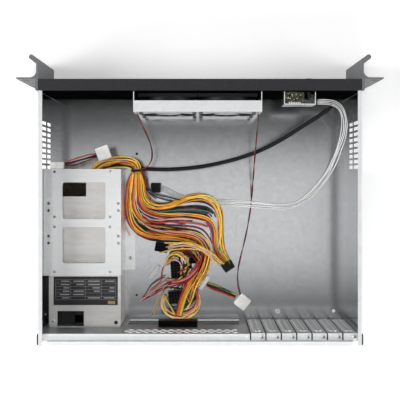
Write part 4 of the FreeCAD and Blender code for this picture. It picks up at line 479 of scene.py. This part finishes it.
# Single wires that stray from the looms: colour, width and route, in millimetres.
STRAYS = [
    ("pink", 1.4, (100, 6.8, 26), (106.4, 20, 18), (109.9, 33.3, 11), (107.9, 45, 8),
     (101.5, 55.2, 7)),
    ("crimson", 1.8, (80.3, -38.8, 45), (78.6, -28.9, 38), (76.2, -17.5, 31), (72.8, -6, 27),
     (62.9, 1.1, 25)),
    ("red", 1.8, (83, -38.8, 46), (81.4, -27.5, 38), (78.2, -16.1, 32), (75.6, -6.1, 29),
     (72.8, 6.8, 27)),
    ("black", 1.8, (84.8, -28.9, 40), (78.2, -14.7, 33), (68.5, -4.6, 28), (52.9, 1.9, 25),
     (38.6, 4.7, 24), (27.2, 6.9, 24)),
    ("black", 1.8, (82.3, -20.4, 36), (71.2, -9.7, 30), (57.1, -3.9, 27), (42.9, -1, 26),
     (28.5, 2.4, 30)),
    ("orange", 2, (85, -14.7, 37), (81.7, 2.4, 33), (75.4, 13.1, 31.5), (61.2, 14.5, 31),
     (44.1, 11, 31), (29.9, 6.7, 31), (17.1, 1.7, 31)),
    ("yellow", 2, (19.9, -0.4, 31), (5.7, -3.3, 31), (-8.5, -4.7, 30), (-20, -0.4, 28),
     (-27.2, 11.1, 26), (-30.8, 28.4, 23), (-30.9, 48.7, 19), (-28.1, 66.2, 16)),
    ("black", 1.8, (76, 19.9, 22), (53.1, 16.3, 21), (31.6, 14.2, 21), (8.6, 12, 21),
     (-10.1, 14.2, 20), (-18.7, 22.8, 19)),
    ("green", 1.6, (71.7, 22.8, 21), (48.8, 18.5, 20), (25.8, 16.3, 20), (2.9, 15.7, 19),
     (-14.4, 20, 18)),
    ("pink", 1.9, (84.4, 21.2, 24), (74.6, 29.9, 21.5), (58.8, 32.1, 21.5), (43, 29.9, 21.5),
     (25.8, 28.5, 21.5), (7.2, 30.6, 21.5), (-8.6, 34.3, 20)),
    ("red", 1.9, (83.1, 27, 23), (71.8, 34.3, 20), (56, 35.7, 20), (37.3, 33.6, 20),
     (18.7, 35.7, 20), (1.4, 37.2, 19), (-11.5, 41.7, 16)),
    ("crimson", 1.8, (77.6, 35.8, 18), (60.5, 40.3, 16), (40.3, 39.5, 16), (20.2, 41, 15),
     (2.9, 42.6, 13), (-10.1, 50.6, 11), (-17.4, 65.3, 9)),
    ("black", 1.8, (80.6, 38.8, 17), (63.4, 44.7, 14.5), (43.3, 44.7, 14), (23.1, 45.4, 13.5),
     (4.3, 47.7, 12), (-8.7, 57.9, 10), (-15.9, 73.9, 9)),
    ("pink", 1.6, (86.2, 32.9, 19), (73.4, 43.1, 16.5), (57.6, 47.5, 15), (36, 49, 15),
     (14.4, 50.4, 15), (-1.4, 57.7, 14), (-10.8, 70.7, 13), (-14.4, 83.8, 12)),
    ("red", 1.9, (76.3, 47.5, 16), (57.6, 52.6, 15), (36, 53.3, 14.5), (14.4, 55.5, 14.5),
     (0, 64.2, 14), (-7.2, 76.5, 13), (-7.2, 91, 12)),
    ("black", 1.9, (91.1, 52.2, 10), (76.8, 61, 7), (58, 62.5, 7), (37.7, 63.2, 7.5),
     (17.4, 65.3, 9), (0, 72.4, 10)),
    ("orange", 2, (99.6, 34.6, 13), (92.6, 47.8, 10.5), (81, 55.1, 9.5), (63.7, 55.8, 9.5),
     (46.2, 55.6, 12), (28.9, 57.7, 13.5), (10.1, 63.5, 13)),
    ("yellow", 1.6, (50.5, 64.9, 14), (31.6, 63.7, 20), (12.9, 66.4, 23), (-5.7, 70.7, 23),
     (-21.6, 83.3, 18), (-36.2, 97, 10)),
    ("yellow", 1.6, (58, 79.1, 8), (43.3, 75, 14), (23, 72.5, 18), (1.4, 73.8, 20),
     (-13, 79.1, 16)),
    ("pink", 1.5, (49, 70.7, 14), (28.7, 68.1, 19), (7.2, 70, 22), (-8.6, 75.8, 22),
     (-18.7, 87.6, 18)),
    ("green", 1.5, (-18.7, 68.8, 20), (-30.2, 74.7, 17), (-38.2, 83.6, 14), (-41.9, 92.5, 12),
     (-46.3, 102.9, 9)),
    ("yellow", 1.7, (52, 95.3, 13), (47.6, 85.1, 13.5), (36.1, 80, 14), (24.5, 85, 14.5),
     (18.8, 98.1, 14), (23.1, 111, 14), (33.2, 119.8, 13)),
    ("pink", 1.6, (52, 99.6, 13), (44.7, 90.9, 13.5), (34.6, 88.7, 14), (26.7, 95.2, 14),
     (23.8, 106.8, 13)),
    ("crimson", 1.9, (46, 123.7, 17), (31.6, 122.8, 18), (17.2, 117.7, 19), (5.7, 106.1, 20),
     (-1.4, 91.8, 19), (-4.3, 77.7, 16)),
    ("red", 1.9, (48.9, 119.3, 17), (33.1, 119.2, 18.5), (18.7, 114, 20), (8.6, 103.1, 21),
     (1.4, 88.8, 20)),
    ("orange", 2, (-10.1, 77.8, 15), (-5.8, 94.9, 17), (2.9, 111.9, 19), (10.8, 127.6, 20),
     (14.4, 145, 19)),
    ("yellow", 2, (-13, 83.6, 14), (-10.1, 100.7, 16), (0, 116.4, 18), (7.9, 132, 19),
     (11.5, 147.9, 19), (20, 160, 24)),
    ("orange", 1.8, (2.9, 106.3, 18), (14.4, 120.7, 18), (23, 128, 17), (20.2, 138.3, 15),
     (15.9, 150, 14)),
    ("crimson", 1.6, (50.4, 113.6, 17), (63.5, 119.8, 13), (73.8, 129, 9), (78.4, 139.5, 6),
     (85.8, 147.8, 3.2)),
    ("pink", 1.6, (46, 116.5, 17), (56.3, 125.7, 12), (68.1, 134.9, 8), (78.4, 144, 4.5),
     (87.3, 150, 3)),
    ("red", 1.5, (53.4, 100.9, 14), (56.3, 109.8, 12), (55, 120.2, 10), (63.8, 127.6, 8),
     (72.6, 135.1, 6)),
    ("olive", 1.5, (50.7, 133.4, 8), (58, 142.4, 6), (62.5, 155.7, 4), (68.4, 171.9, 3)),
    ("pink", 1.5, (53.6, 130.4, 9), (60.2, 142.4, 6), (64.7, 155.7, 4), (71.3, 170.4, 3)),
    ("yellow", 1.6, (47.9, 142.5, 5), (56, 151.4, 4), (53.8, 164.4, 4), (40.7, 172.4, 4),
     (23.3, 176.1, 4), (8.7, 171.7, 4), (2.9, 157.2, 4), (5.8, 139.6, 5)),
    ("pink", 1.6, (52.3, 144, 5), (58.2, 155.9, 3), (50.9, 168.2, 3), (36.4, 173.3, 3),
     (20.4, 171.8, 3.5), (10.2, 161.5, 4)),
    ("red", 1.8, (7.2, 122.7, 13), (2.2, 136.3, 8), (2.9, 152.7, 5), (8, 167.4, 4)),
    ("crimson", 1.8, (10.1, 125.6, 13), (5.1, 139.2, 8), (5.8, 154.1, 5), (16, 164.4, 4),
     (26.2, 165.9, 4)),
    ("yellow", 1.6, (50.6, 141.9, 10), (45.7, 152.4, 7), (40.7, 161.5, 4), (34.9, 173.3, 3)),
    ("crimson", 1.2, (-56.4, 133.2, 8.4), (-57.2, 137.5, 8.9), (-58.6, 144.5, 7.6)),
    ("black", 1.2, (-57.3, 133.6, 8.1), (-58.9, 138, 8.3), (-60.4, 145, 7.2)),
]

# The looms that leave the cable tie, the tie's x in millimetres, and how far from it, in metres,
# they are still drawn in.
BRANCHES = ("harness_board", "harness_drive", "harness_fan", "harness_cpu")
TIE_X, TIE_REACH = 90, 0.022

# In metres: half a turn of a twisted pair, a filler's radius and lowest middle, and the sleeve.
HALF_TWIST = 0.035
FILLER_RADIUS, FILLER_LOWEST = 0.00085, 0.0028
SLEEVE_WIDTH = 0.0055
# How far a row lies from its loom's middle, in wires, and how wide a loom is at its ends.
ROW_RISE, GATHERED = 0.42, 0.72
FILLER_STEPS = 48


def spline(name, spots):
    """A curve object with one smooth open line that the given points steer."""
    curve = bpy.data.curves.new(name, "CURVE")
    curve.dimensions = "3D"
    line = curve.splines.new("NURBS")
    line.points.add(len(spots) - 1)
    for point, spot in zip(line.points, spots):
        point.co = (*mm(*spot), 1)
    line.order_u = 3
    line.use_endpoint_u = True
    line.resolution_u = 8
    return bpy.data.objects.new(name, curve)


def points_of(thing):
    """The points along a curve's smooth line."""
    line = bpy.data.meshes.new_from_object(thing)
    points = [v.co.copy() for v in line.vertices]
    bpy.data.meshes.remove(line)
    return points


def route(name):
    """The points along the middle of a cord of the source."""
    guide = spline(f"{name}_line", ROUTES[name])
    points = points_of(guide)
    bpy.data.objects.remove(guide)
    return points


def length(points):
    """The length of a line through points."""
    return sum((b - a).length for a, b in zip(points, points[1:]))


def framed(points):
    """Each point with the side and top directions of the line there."""
    frames = []
    for i, point in enumerate(points):
        ahead = (points[min(i + 1, len(points) - 1)] - points[max(i - 1, 0)]).normalized()
        side = ahead.cross(Vector((0, 0, 1))).normalized()
        frames.append((point, side, side.cross(ahead)))
    return frames


def tube(builder, line, radius, sides, skin):
    """Adds a round tube with closed ends along a line of (point, side, top)."""
    rings = [
        [builder.verts.new(point + (side * math.cos(a) + top * math.sin(a)) * radius)
         for a in angles(sides)]
        for point, side, top in line
    ]
    for face in bridge(builder, rings):
        face.material_index, face.smooth = skin, True
    for ring in (rings[0][::-1], rings[-1]):
        builder.faces.new(ring).material_index = skin


def seats(upper, lower, wide, wire):
    """Where each wire sits in a loom's section, in millimetres: two rows, one on the other."""
    rows = []
    step = 2 * wide / max(1, len(upper) - 1)
    for count, level in ((len(upper), ROW_RISE if lower else 0), (len(lower), -ROW_RISE)):
        for i in range(count):
            rows.append(((i - (count - 1) / 2) * step, level * wire))
    return rows


def loose(seat, seed, run, whole, wire, wide):
    """A loose wire's place across its loom: its seat, and a sway that dies out at both ends."""
    ease = min(1, run / whole * 4, (1 - run / whole) * 4)
    sway = noise.noise_vector(seed + Vector((run * 24, 0, 0))) * ease
    aside = seat[0] * (GATHERED + (1 - GATHERED) * ease) + sway.x * (0.5 * wire + 0.5 * wide)
    return aside, seat[1] + sway.y * wire * 0.7


def drawn_in(name, seat, run):
    """How far the cable tie draws a branch's wire towards its middle, near the tie."""
    tight = max(0, 1 - run / TIE_REACH) ** 2
    return tight * (0.45 * (TIE_X - ROUTES[name][0][0]) - 0.4 * seat[0])


def loom(name):
    """A cord of several wires that part, close and cross a little as they run."""
    across, wire, flat, far_end, on_it, upper, lower = CORDS[name]
    upper, lower = upper.split(), lower.split()
    points = route(name)
    frames = framed(points)
    whole = length(points)
    limit = across * 0.65 + 1.7 - wire / 2
    wide = min(limit, (len(upper) - 1) * wire * flat) if flat else wire / 2
    used = sorted(set(upper + lower))
    chance = random.Random(name)
    builder = bmesh.new()
    for i, (colour, seat) in enumerate(zip(upper + lower, seats(upper, lower, wide, wire))):
        seed = Vector((chance.uniform(0, 50), i * 7.3, 0))
        line, run, last = [], 0, points[0]
        for point, side, top in frames:
            run += (point - last).length
            last = point
            if flat:
                aside, above = loose(seat, seed, run, whole, wire, wide)
                aside += drawn_in(name, seat, run) if name in BRANCHES else 0
            else:
                turn = run / HALF_TWIST * math.pi + i * math.pi
                aside, above = math.cos(turn) * wire * 0.5, math.sin(turn) * wire * 0.5
            far = math.hypot(aside, above)
            if far > limit:
                aside, above = aside * limit / far, above * limit / far
            line.append((point + side * aside / 1000 + top * above / 1000, side, top))
        tube(builder, line, wire / 2000, 7, used.index(colour))
    thing = piece(f"{name}_wires", builder, [WIRE[c] for c in used],
                  [name])


def filler_path(lines, lead, share, seed, drop, first, last):
    """A filler's way: a share of the gap from the first line, and under the lower of the two."""
    path = []
    for j in range(FILLER_STEPS + 1):
        along = first + (last - first) * j / FILLER_STEPS
        a, b = (line[round(min(1, along + ahead) * (len(line) - 1))]
                for line, ahead in zip(lines, (0, lead)))
        sway = noise.noise_vector(seed + Vector((along * 5, 0, 0)))
        spot = a.lerp(b, share) + Vector((sway.x, sway.y, 0)) * 0.004
        low = min(a.z, b.z) - drop / 1000 + sway.z * 0.002
        path.append(Vector((spot.x, spot.y, max(FILLER_LOWEST, low))))
    return path


def between():
    """The dark wires that fill the looms' gaps, led between the middles of two looms."""
    for one, two, count, start, end, lead, tints in FILLERS:
        lines = [route(one), route(two)]
        chance = random.Random(one + two)
        builder = bmesh.new()
        tints = tints.split()
        used = sorted(set(tints))
        for i in range(count):
            share = (i + 0.5) / count + chance.uniform(-0.04, 0.04)
            seed, drop = Vector((chance.uniform(0, 50), i * 3.1, 0)), chance.uniform(0, 2.5)
            first = start + chance.uniform(0, 0.05)
            last = end - chance.uniform(0, 0.12)
            path = filler_path(lines, lead, share, seed, drop, first, last)
            tube(builder, framed(path), FILLER_RADIUS, 6, used.index(tints[i % len(tints)]))
        piece(f"{one}_{two}_fillers", builder, [WIRE[c] for c in used])


def strays():
    """The single wires that have come away from the looms."""
    made = []
    for i, (colour, wide, *spots) in enumerate(STRAYS):
        thing = spline(f"stray_wire_{i + 1}", spots)
        whole = length(points_of(thing))
        thing.data.bevel_depth = wide / 2000
        thing.data.bevel_resolution = 2
        thing.data.use_fill_caps = True
        thing.data.materials.append(WIRE[colour])
        SCENE.collection.objects.link(thing)
        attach(thing, "case")
        made.append((whole, wide, spots[0], thing))
    made.sort(key=lambda one: -one[0])


def usb_cable():
    """The round cable in a black braided sleeve, from the front ports to the looms' tie."""
    points = route("usb_cable")
    builder = bmesh.new()
    tube(builder, framed(points), SLEEVE_WIDTH / 2, 16, 0)
    thing = piece("usb_cable_sleeve", builder, [SLEEVE], ["usb_cable"])


# -------------------- connectors
RIB = 0.6

# Each connector: the middle of its underside, its sizes, its turn, where its cells look,
# and how many cells it has across and down.
BLACK_PLUGS = [
    ((-40.6, 99, 1.2), (17, 12, 11), 33.5, "Y", 4, 2),
    ((55.8, 71.6, 1.2), (19, 14, 10), -10, "Z", 5, 3),
    ((35.5, 104, 1.2), (14, 25, 10), 3, "Z", 3, 6),
    ((31.1, 143.4, 1.2), (29, 19, 11), 6, "Z", 7, 4),
    ((9.3, 88.6, 1.2), (14, 14, 7), 0, "Z", 4, 3),
    ((63.9, -14.8, 10), (14, 14, 10), 0, "Y", 5, 2),
]
WHITE_PLUGS = [
    ((-61.5, 150.7, 1.2), (19, 18, 9.5), 51, "Y", 4, 1),
    ((-6.1, 123.3, 1.2), (6, 22, 8), -32, "Y", 1, 1),
    ((134.2, -63.7, 57), (19, 18, 9.5), -70, "Y", 4, 1),
    ((195.9, -46.4, 76), (19, 9, 8), 0, "Y", 4, 1),
    ((65.9, 108.1, 1.2), (6, 22, 8), -35, "-Y", 1, 1),
]


def laid(spot, turn, tip="Z"):
    """The matrix that stands a connector at a spot in millimetres, turned about +Z.

    tip is where the pin cells look: up, or along the connector's own +Y or -Y.
    """
    lean = {"Z": Matrix(), "Y": Matrix.Rotation(-math.pi / 2, 4, "X"),
            "-Y": Matrix.Rotation(math.pi / 2, 4, "X")}[tip]
    return Matrix.Translation(mm(*spot)) @ Matrix.Rotation(math.radians(turn), 4, "Z") @ lean


def housing(builder, matrix, size, columns, rows, depth=3.0, wall=0.22):
    """A moulded body with a grid of cells sunk in its top; size and depth in millimetres.

    wall is the rim left round each cell, as a share of the cells' pitch.
    """
    wide, deep, high = (edge / 2000 for edge in size)
    shape = bmesh.new()
    grid = [
        [shape.verts.new((wide * (2 * i / columns - 1), deep * (2 * j / rows - 1), high))
         for i in range(columns + 1)]
        for j in range(rows + 1)
    ]
    cells = [
        shape.faces.new((grid[j][i], grid[j][i + 1], grid[j + 1][i + 1], grid[j + 1][i]))
        for j in range(rows) for i in range(columns)
    ]
    low = [shape.verts.new((x, y, -high))
           for x, y in ((-wide, -deep), (wide, -deep), (wide, deep), (-wide, deep))]
    shape.faces.new(low[::-1])
    rims = (grid[0][::-1], [row[-1] for row in grid[::-1]], grid[-1], [row[0] for row in grid])
    for k, rim in enumerate(rims):
        shape.faces.new([low[k], low[(k + 1) % 4], *rim])
    pitch = min(2 * wide / columns, 2 * deep / rows)
    bmesh.ops.inset_individual(shape, faces=cells, thickness=pitch * wall)
    bmesh.ops.inset_individual(shape, faces=cells, thickness=pitch * 0.02, depth=-depth / 1000)
    # Each cell's floor takes the second material, near black as painted shade.
    for face in cells:
        face.material_index = 1
    join(builder, shape, matrix)


def side_ribs(builder, matrix, columns, span, size, aside, level):
    """The ribs between a housing's columns of cells, on both of its long sides."""
    for i in range(columns + 1):
        for side in (-1, 1):
            block(builder, matrix, size, (span * (i / columns - 0.5), side * aside, level))


def end_ribs(builder, matrix, size, aside, level):
    """The rib on each end of a housing."""
    for side in (-1, 1):
        block(builder, matrix, size, (side * aside, 0, level))


def connector(builder, spot, size, turn, tip, columns, rows):
    """A wire connector standing at the middle of its underside: cells, ribs and latch."""
    wide, long, high = size
    across, deep, tall = (wide, long, high) if tip == "Z" else (wide, high, long)
    matrix = laid((spot[0], spot[1], spot[2] + high / 2), turn, tip)
    housing(builder, matrix, (across - 2 * RIB, deep - 2 * RIB, tall), columns, rows)
    side_ribs(builder, matrix, columns, across - 3 * RIB, (1.5 * RIB, RIB, tall * 0.8),
              deep / 2 - RIB / 2, -tall * 0.06)
    end_ribs(builder, matrix, (RIB, deep - 4 * RIB, tall * 0.45), across / 2 - RIB / 2,
             -tall * 0.2)
    block(builder, matrix, (across * 0.22, 1.5 * RIB, tall * 0.7),
          (0, -deep / 2 + 0.75 * RIB, tall * 0.1))


def board_plug():
    """The main board plug: two rows of twelve cells looking up, ribs and a long latch."""
    columns, rows = 12, 2
    builder = bmesh.new()
    matrix = laid((30.5, 171.3, 65.5), 0)
    housing(builder, matrix, (53.4, 8.0, 21), columns, rows, depth=5, wall=0.16)
    side_ribs(builder, matrix, columns, 52.6, (1.1, 0.8, 17.5), 4.4, -1)
    end_ribs(builder, matrix, (0.6, 6.6, 12), 27, -4)
    block(builder, matrix, (9, 1.0, 15), (0, 4.3, 2.5))
    piece("board_plug_body", builder, [BLACK_NYLON, RECESS_SHADE], ["board_plug"],
          MOULDED_EDGE)


def plugs():
    """The black and the white connectors that lie on the looms' ends."""
    for colour, skin, kinds in (("black", BLACK_NYLON, BLACK_PLUGS),
                                ("white", WHITE_NYLON, WHITE_PLUGS)):
        builder = bmesh.new()
        for kind in kinds:
            connector(builder, *kind)
        piece(f"{colour}_plug_bodies", builder, [skin, RECESS_SHADE],
              [f"{colour}_plugs"], MOULDED_EDGE)


# -------------------- screws, labels, small parts
SLOTS, FIRST_SLOT, SLOT_PITCH = 7, -76.9, 20.32
FAN_MIDDLES, FAN_HEIGHT, FAN_HOLE = {"left": 43.5, "right": -37.0}, 65, 35.76
UP, BACK, LEFT = (0, 0, 1), (0, 1, 0), (1, 0, 0)
SUPPLY_TOP = 72
SCREW_SIDES = 24
# A pan head's outline: its share of the radius at a share of the height.
SCREW_HEAD = ((1.0, 0.0), (1.0, 0.4), (0.9, 0.75), (0.7, 0.95), (0.62, 1.0))
# A slot cover's bead: how far out it stands across its width, and its share of that along it.
BEAD_ACROSS = ((-6.5, 0), (-5, 1.3), (-2.2, 1.5), (-1.4, 0.7), (1.4, 0.7), (2.2, 1.5), (5, 1.3),
               (6.5, 0))
BEAD_ALONG = ((12, 0.0), (13, 0.7), (16, 1.0), (106, 1.0), (109, 0.7), (110, 0.0))
COVER_FACE = 175.89


def slot_middle(i):
    """The x of the middle of a slot in millimetres, counted from 0 at the supply's side."""
    return FIRST_SLOT - SLOT_PITCH * i


def screw(builder, spot, along, across=5.6, high=2.0):
    """A pan head with a cross recess; spot is the middle of its underside."""
    shape = bmesh.new()
    radius, top = across / 2000, high / 1000
    rings = [
        [shape.verts.new((math.cos(a) * radius * share, math.sin(a) * radius * share,
                          top * level)) for a in angles(SCREW_SIDES)]
        for share, level in SCREW_HEAD
    ]
    bridge(shape, rings)
    arm, slit = radius * 0.5, radius * 0.14
    corners = [(arm, slit), (slit, slit), (slit, arm), (-slit, arm), (-slit, slit), (-arm, slit),
               (-arm, -slit), (-slit, -slit), (-slit, -arm), (slit, -arm), (slit, -slit),
               (arm, -slit)]
    cross = [shape.verts.new((x, y, top)) for x, y in corners]
    floor = [shape.verts.new((x * 0.8, y * 0.8, top * 0.35)) for x, y in corners]
    after = [*range(1, len(corners)), 0]
    edge = rings[-1]
    rim = [shape.edges.get((edge[k - 1], edge[k])) for k in [*range(1, SCREW_SIDES), 0]]
    rim += [shape.edges.new((cross[k], cross[n])) for k, n in enumerate(after)]
    bmesh.ops.triangle_fill(shape, use_beauty=True, edges=rim, normal=(0, 0, 1))
    # The cross recess takes the second material, near black as painted shade.
    for k, n in enumerate(after):
        shape.faces.new((cross[n], cross[k], floor[k], floor[n])).material_index = 1
    shape.faces.new(floor).material_index = 1
    for face in shape.faces:
        face.smooth = face.material_index == 0 and len(face.verts) == 4
    turn = Vector((0, 0, 1)).rotation_difference(Vector(along)).to_matrix().to_4x4()
    join(builder, shape, Matrix.Translation(mm(*spot)) @ turn)


def screw_heads(name, skin, heads, replaces=()):
    """One piece of several screws, each with its spot, its direction and maybe its sizes."""
    builder = bmesh.new()
    for head in heads:
        screw(builder, *head)
    piece(name, builder, [skin, RECESS_SHADE], replaces)


def screws():
    """Pan-head screws that stand for the source's plain heads, and three on the supply."""
    screw_heads("slot_screw_heads", SCREW,
                [((slot_middle(i) - 5.3, 180.65, 125.36), UP) for i in range(SLOTS)],
                ["slot_screws"])
    screw_heads("fan_screw_heads", DARK_SCREW,
                [((middle + x, -116.35, FAN_HEIGHT + z), BACK)
                 for middle in FAN_MIDDLES.values()
                 for x in (-FAN_HOLE, FAN_HOLE) for z in (-FAN_HOLE, FAN_HOLE)],
                ["fan_screws"])
    screw_heads("tray_screw_heads", SCREW,
                [((101.05, 87.5, 2.2), UP), ((215, -36.0, 64), LEFT, 5.6, 0.9),
                 ((215, 81.2, 64), LEFT, 5.6, 0.9)],
                ["tray_screws"])
    screw_heads("bright_screw_heads", SCREW, [((202.7, 168.1, SUPPLY_TOP), UP, 5.2, 1.6),
                                              ((122.3, -37.6, 83.5), UP, 4, 1.2)])
    screw_heads("dark_screw_head", DARK_SCREW, [((115.8, 170.2, SUPPLY_TOP), UP, 5.2, 1.6)])


def slot_cover_beads():
    """The long bead pressed into each slot cover."""
    builder = bmesh.new()
    for i in range(SLOTS):
        rows = [
            [builder.verts.new(mm(slot_middle(i) + x * share, COVER_FACE - high * share, z))
             for x, high in BEAD_ACROSS]
            for z, share in BEAD_ALONG
        ]
        for one, two in zip(rows, rows[1:]):
            for k in range(len(BEAD_ACROSS) - 1):
                builder.faces.new((one[k + 1], one[k], two[k], two[k + 1]))
    piece("slot_cover_beads", builder, [ZINC_LIT_COPY])


def slot_seam_shadows():
    """Dark strips painted in as the shadow in the seam on each side of a slot cover, and over the
    flange above it.
    """
    builder = bmesh.new()
    for i in range(-1, SLOTS):
        seam = slot_middle(i + 0.5)
        sheet(builder, (seam - 0.85, 176.3, 8), (seam + 0.85, 176.7, 124.4))
        sheet(builder, (seam - 0.85, 176.8, 124.5), (seam + 0.85, 185, 124.8))
    piece("slot_seam_shadows", builder, [RUBBER])


def port_board_parts():
    """The front port board's upper side: solder points, chips and the pin header."""
    board, mask = 120.8, 121.9
    builder = bmesh.new()
    sheet(builder, (-138, -142.6, board), (-113.2, -128, mask))
    chance = random.Random(3)
    for k in range(40):
        x, y = chance.uniform(-137, -114.5), chance.uniform(-141.8, -130)
        sheet(builder, (x, y, mask), (x + 1, y + 0.9, 122.3), 1 + 2 * (k % 2))
    for x, y, wide, deep in ((-135, -138, 4.5, 3), (-128, -134, 3, 5), (-121, -140, 5, 3)):
        sheet(builder, (x, y, mask), (x + wide, y + deep, 123), 2)
    for k in range(7):
        sheet(builder, (-133 + k * 2.3, -129.6, mask), (-131.6 + k * 2.3, -127.6, 123.4), 3)
    piece("port_board_parts", builder, [OLIVE, SHELL, BLACK, WHITE_NYLON])


def supply_label():
    """The supply's label, left generic: a ruled black plate with plain bars and a plain patch."""
    plate, ink, line_pitch = SUPPLY_TOP + 0.12, SUPPLY_TOP + 0.14, 4.6
    builder = bmesh.new()
    sheet(builder, (113.3, 106.8, SUPPLY_TOP), (201.8, 146.2, plate))
    for k in range(7):
        y = 111 + k * line_pitch
        sheet(builder, (116, y, plate), (199, y + 0.25, ink), 1)
    for x in (116, 136, 158, 178, 198.8):
        sheet(builder, (x, 111, plate), (x + 0.25, 138.8, ink), 1)
    chance = random.Random(5)
    for k in range(6):
        for x, wide in ((118, 16), (138, 18), (160, 16), (180, 17)):
            if chance.random() < 0.8:
                y, end = 112.6 + k * line_pitch, x + wide * chance.uniform(0.4, 0.95)
                sheet(builder, (x, y, plate), (end, y + 1.3, ink), 1)
    sheet(builder, (117, 140.6, plate), (127, 144.6, ink), 2)
    piece("supply_label", builder, [LABEL, LABEL_GREY, LABEL_GOLD])


def disc(builder, middle, across, thick, skin):
    """A thin round patch that looks along +Y, in millimetres."""
    shape = bmesh.new()
    bmesh.ops.create_cone(shape, cap_ends=True, segments=40, radius1=across / 2000,
                          radius2=across / 2000, depth=thick / 1000)
    for face in shape.faces:
        face.material_index = skin
    join(builder, shape, Matrix.Translation(mm(*middle)) @ Matrix.Rotation(math.pi / 2, 4, "X"))


def fan_stickers():
    """A white paper disc with a grey ring on the back of each case fan's motor."""
    for side, x in FAN_MIDDLES.items():
        builder = bmesh.new()
        disc(builder, (x, -117.79, FAN_HEIGHT), 34, 0.12, 0)
        disc(builder, (x, -117.72, FAN_HEIGHT), 27, 0.04, 1)
        disc(builder, (x, -117.70, FAN_HEIGHT), 25.5, 0.06, 0)
        piece(f"fan_{side}_sticker", builder, [STICKER, LABEL_GREY])


def hole_shade_caps():
    """Black caps that paint the shade in the two spare holes of the floor."""
    builder = bmesh.new()
    for y in (-64.15, 141.55):
        cap = bmesh.new()
        bmesh.ops.create_cone(cap, cap_ends=True, segments=24, radius1=0.0021, radius2=0.0017,
                              depth=0.0012)
        join(builder, cap, Matrix.Translation(mm(92.2, y, 0.9)))
    piece("hole_shade_caps", builder, [RECESS_SHADE], soften=0.0003)


# -------------------- the frame's finishes, with lit and shaded copies of the zinc painted on
FINISHES = {
    ZINC: "chassis_tray",
    REAR_LIT: "rear_panel",
    ZINC_LIT_COPY: "board_standoff fan_bracket port_bracket slot_cover_1 slot_cover_2 slot_cover_3 "
                 "slot_cover_4 slot_cover_5 slot_cover_6 slot_cover_7",
    TRAY_STEEL: "drive_tray",
    PSU_STEEL: "psu_base psu_cover",
    PAINT: "front_bezel front_grille",
    EAR_PAINT: "ear_handle_left ear_handle_right",
    WALL_PAINT_AND_SHADE: "front_wall",
    FAN_BLACK: "fan_left_frame fan_right_frame fan_left_rotor fan_right_rotor psu_fan_frame "
               "psu_fan_rotor",
    BLACK: "button_switches mains_inlet rocker_frame",
    GLOSS_BLACK: "rocker_switch power_button reset_button",
    BLACK_NYLON: "board_plug black_plugs cable_tie",
    WHITE_NYLON: "white_plugs",
    RUBBER: "corner_strips",
    SCREW: "slot_screws fan_screws tray_screws",
    SHELL: "usb_sockets",
    WIRE_PLATE: "psu_fan_guard",
    OLIVE: "port_board",
    BROWN_BOARD: "psu_board",
    LENS: "status_lamps",
}

# The sheets with a painted lit or shaded copy of their material on some faces: the tray's rims
# painted brighter, the brackets' upright parts darker than their tops, the rear panel's inside
# darker.
LIT_AND_SHADED_FACES = (
    ("chassis_tray", ZINC_LIT_COPY, lambda face: face.center.z > 0.129),
    ("fan_bracket", ZINC, lambda face: face.normal.z < 0.5 or face.center.z < 0.1),
    ("port_bracket", ZINC, lambda face: face.normal.z < 0.5),
    ("rear_panel", REAR_SHADED, lambda face: face.normal.y < -0.5),
)


def finish_frame():
    """Gives every CAD node its material, then paints lit and shaded copies of it on some faces."""
    for skin, names in FINISHES.items():
        for name in names.split():
            slots = NODES[name].material_slots
            if not slots:
                NODES[name].data.materials.append(skin)
            for slot in slots:
                slot.material = skin
    for name, skin, chosen in LIT_AND_SHADED_FACES:
        mesh = NODES[name].data
        mesh.materials.append(skin)
        for face in mesh.polygons:
            if chosen(face):
                face.material_index = len(mesh.materials) - 1


camera()
dim_world()
for name, where in LAMPS.items():
    lamp(name, *where)
white_floor()
for name in CORDS:
    loom(name)
usb_cable()
between()
strays()
finish_frame()
board_plug()
plugs()
screws()
supply_label()
fan_stickers()
hole_shade_caps()
slot_cover_beads()
slot_seam_shadows()
port_board_parts()
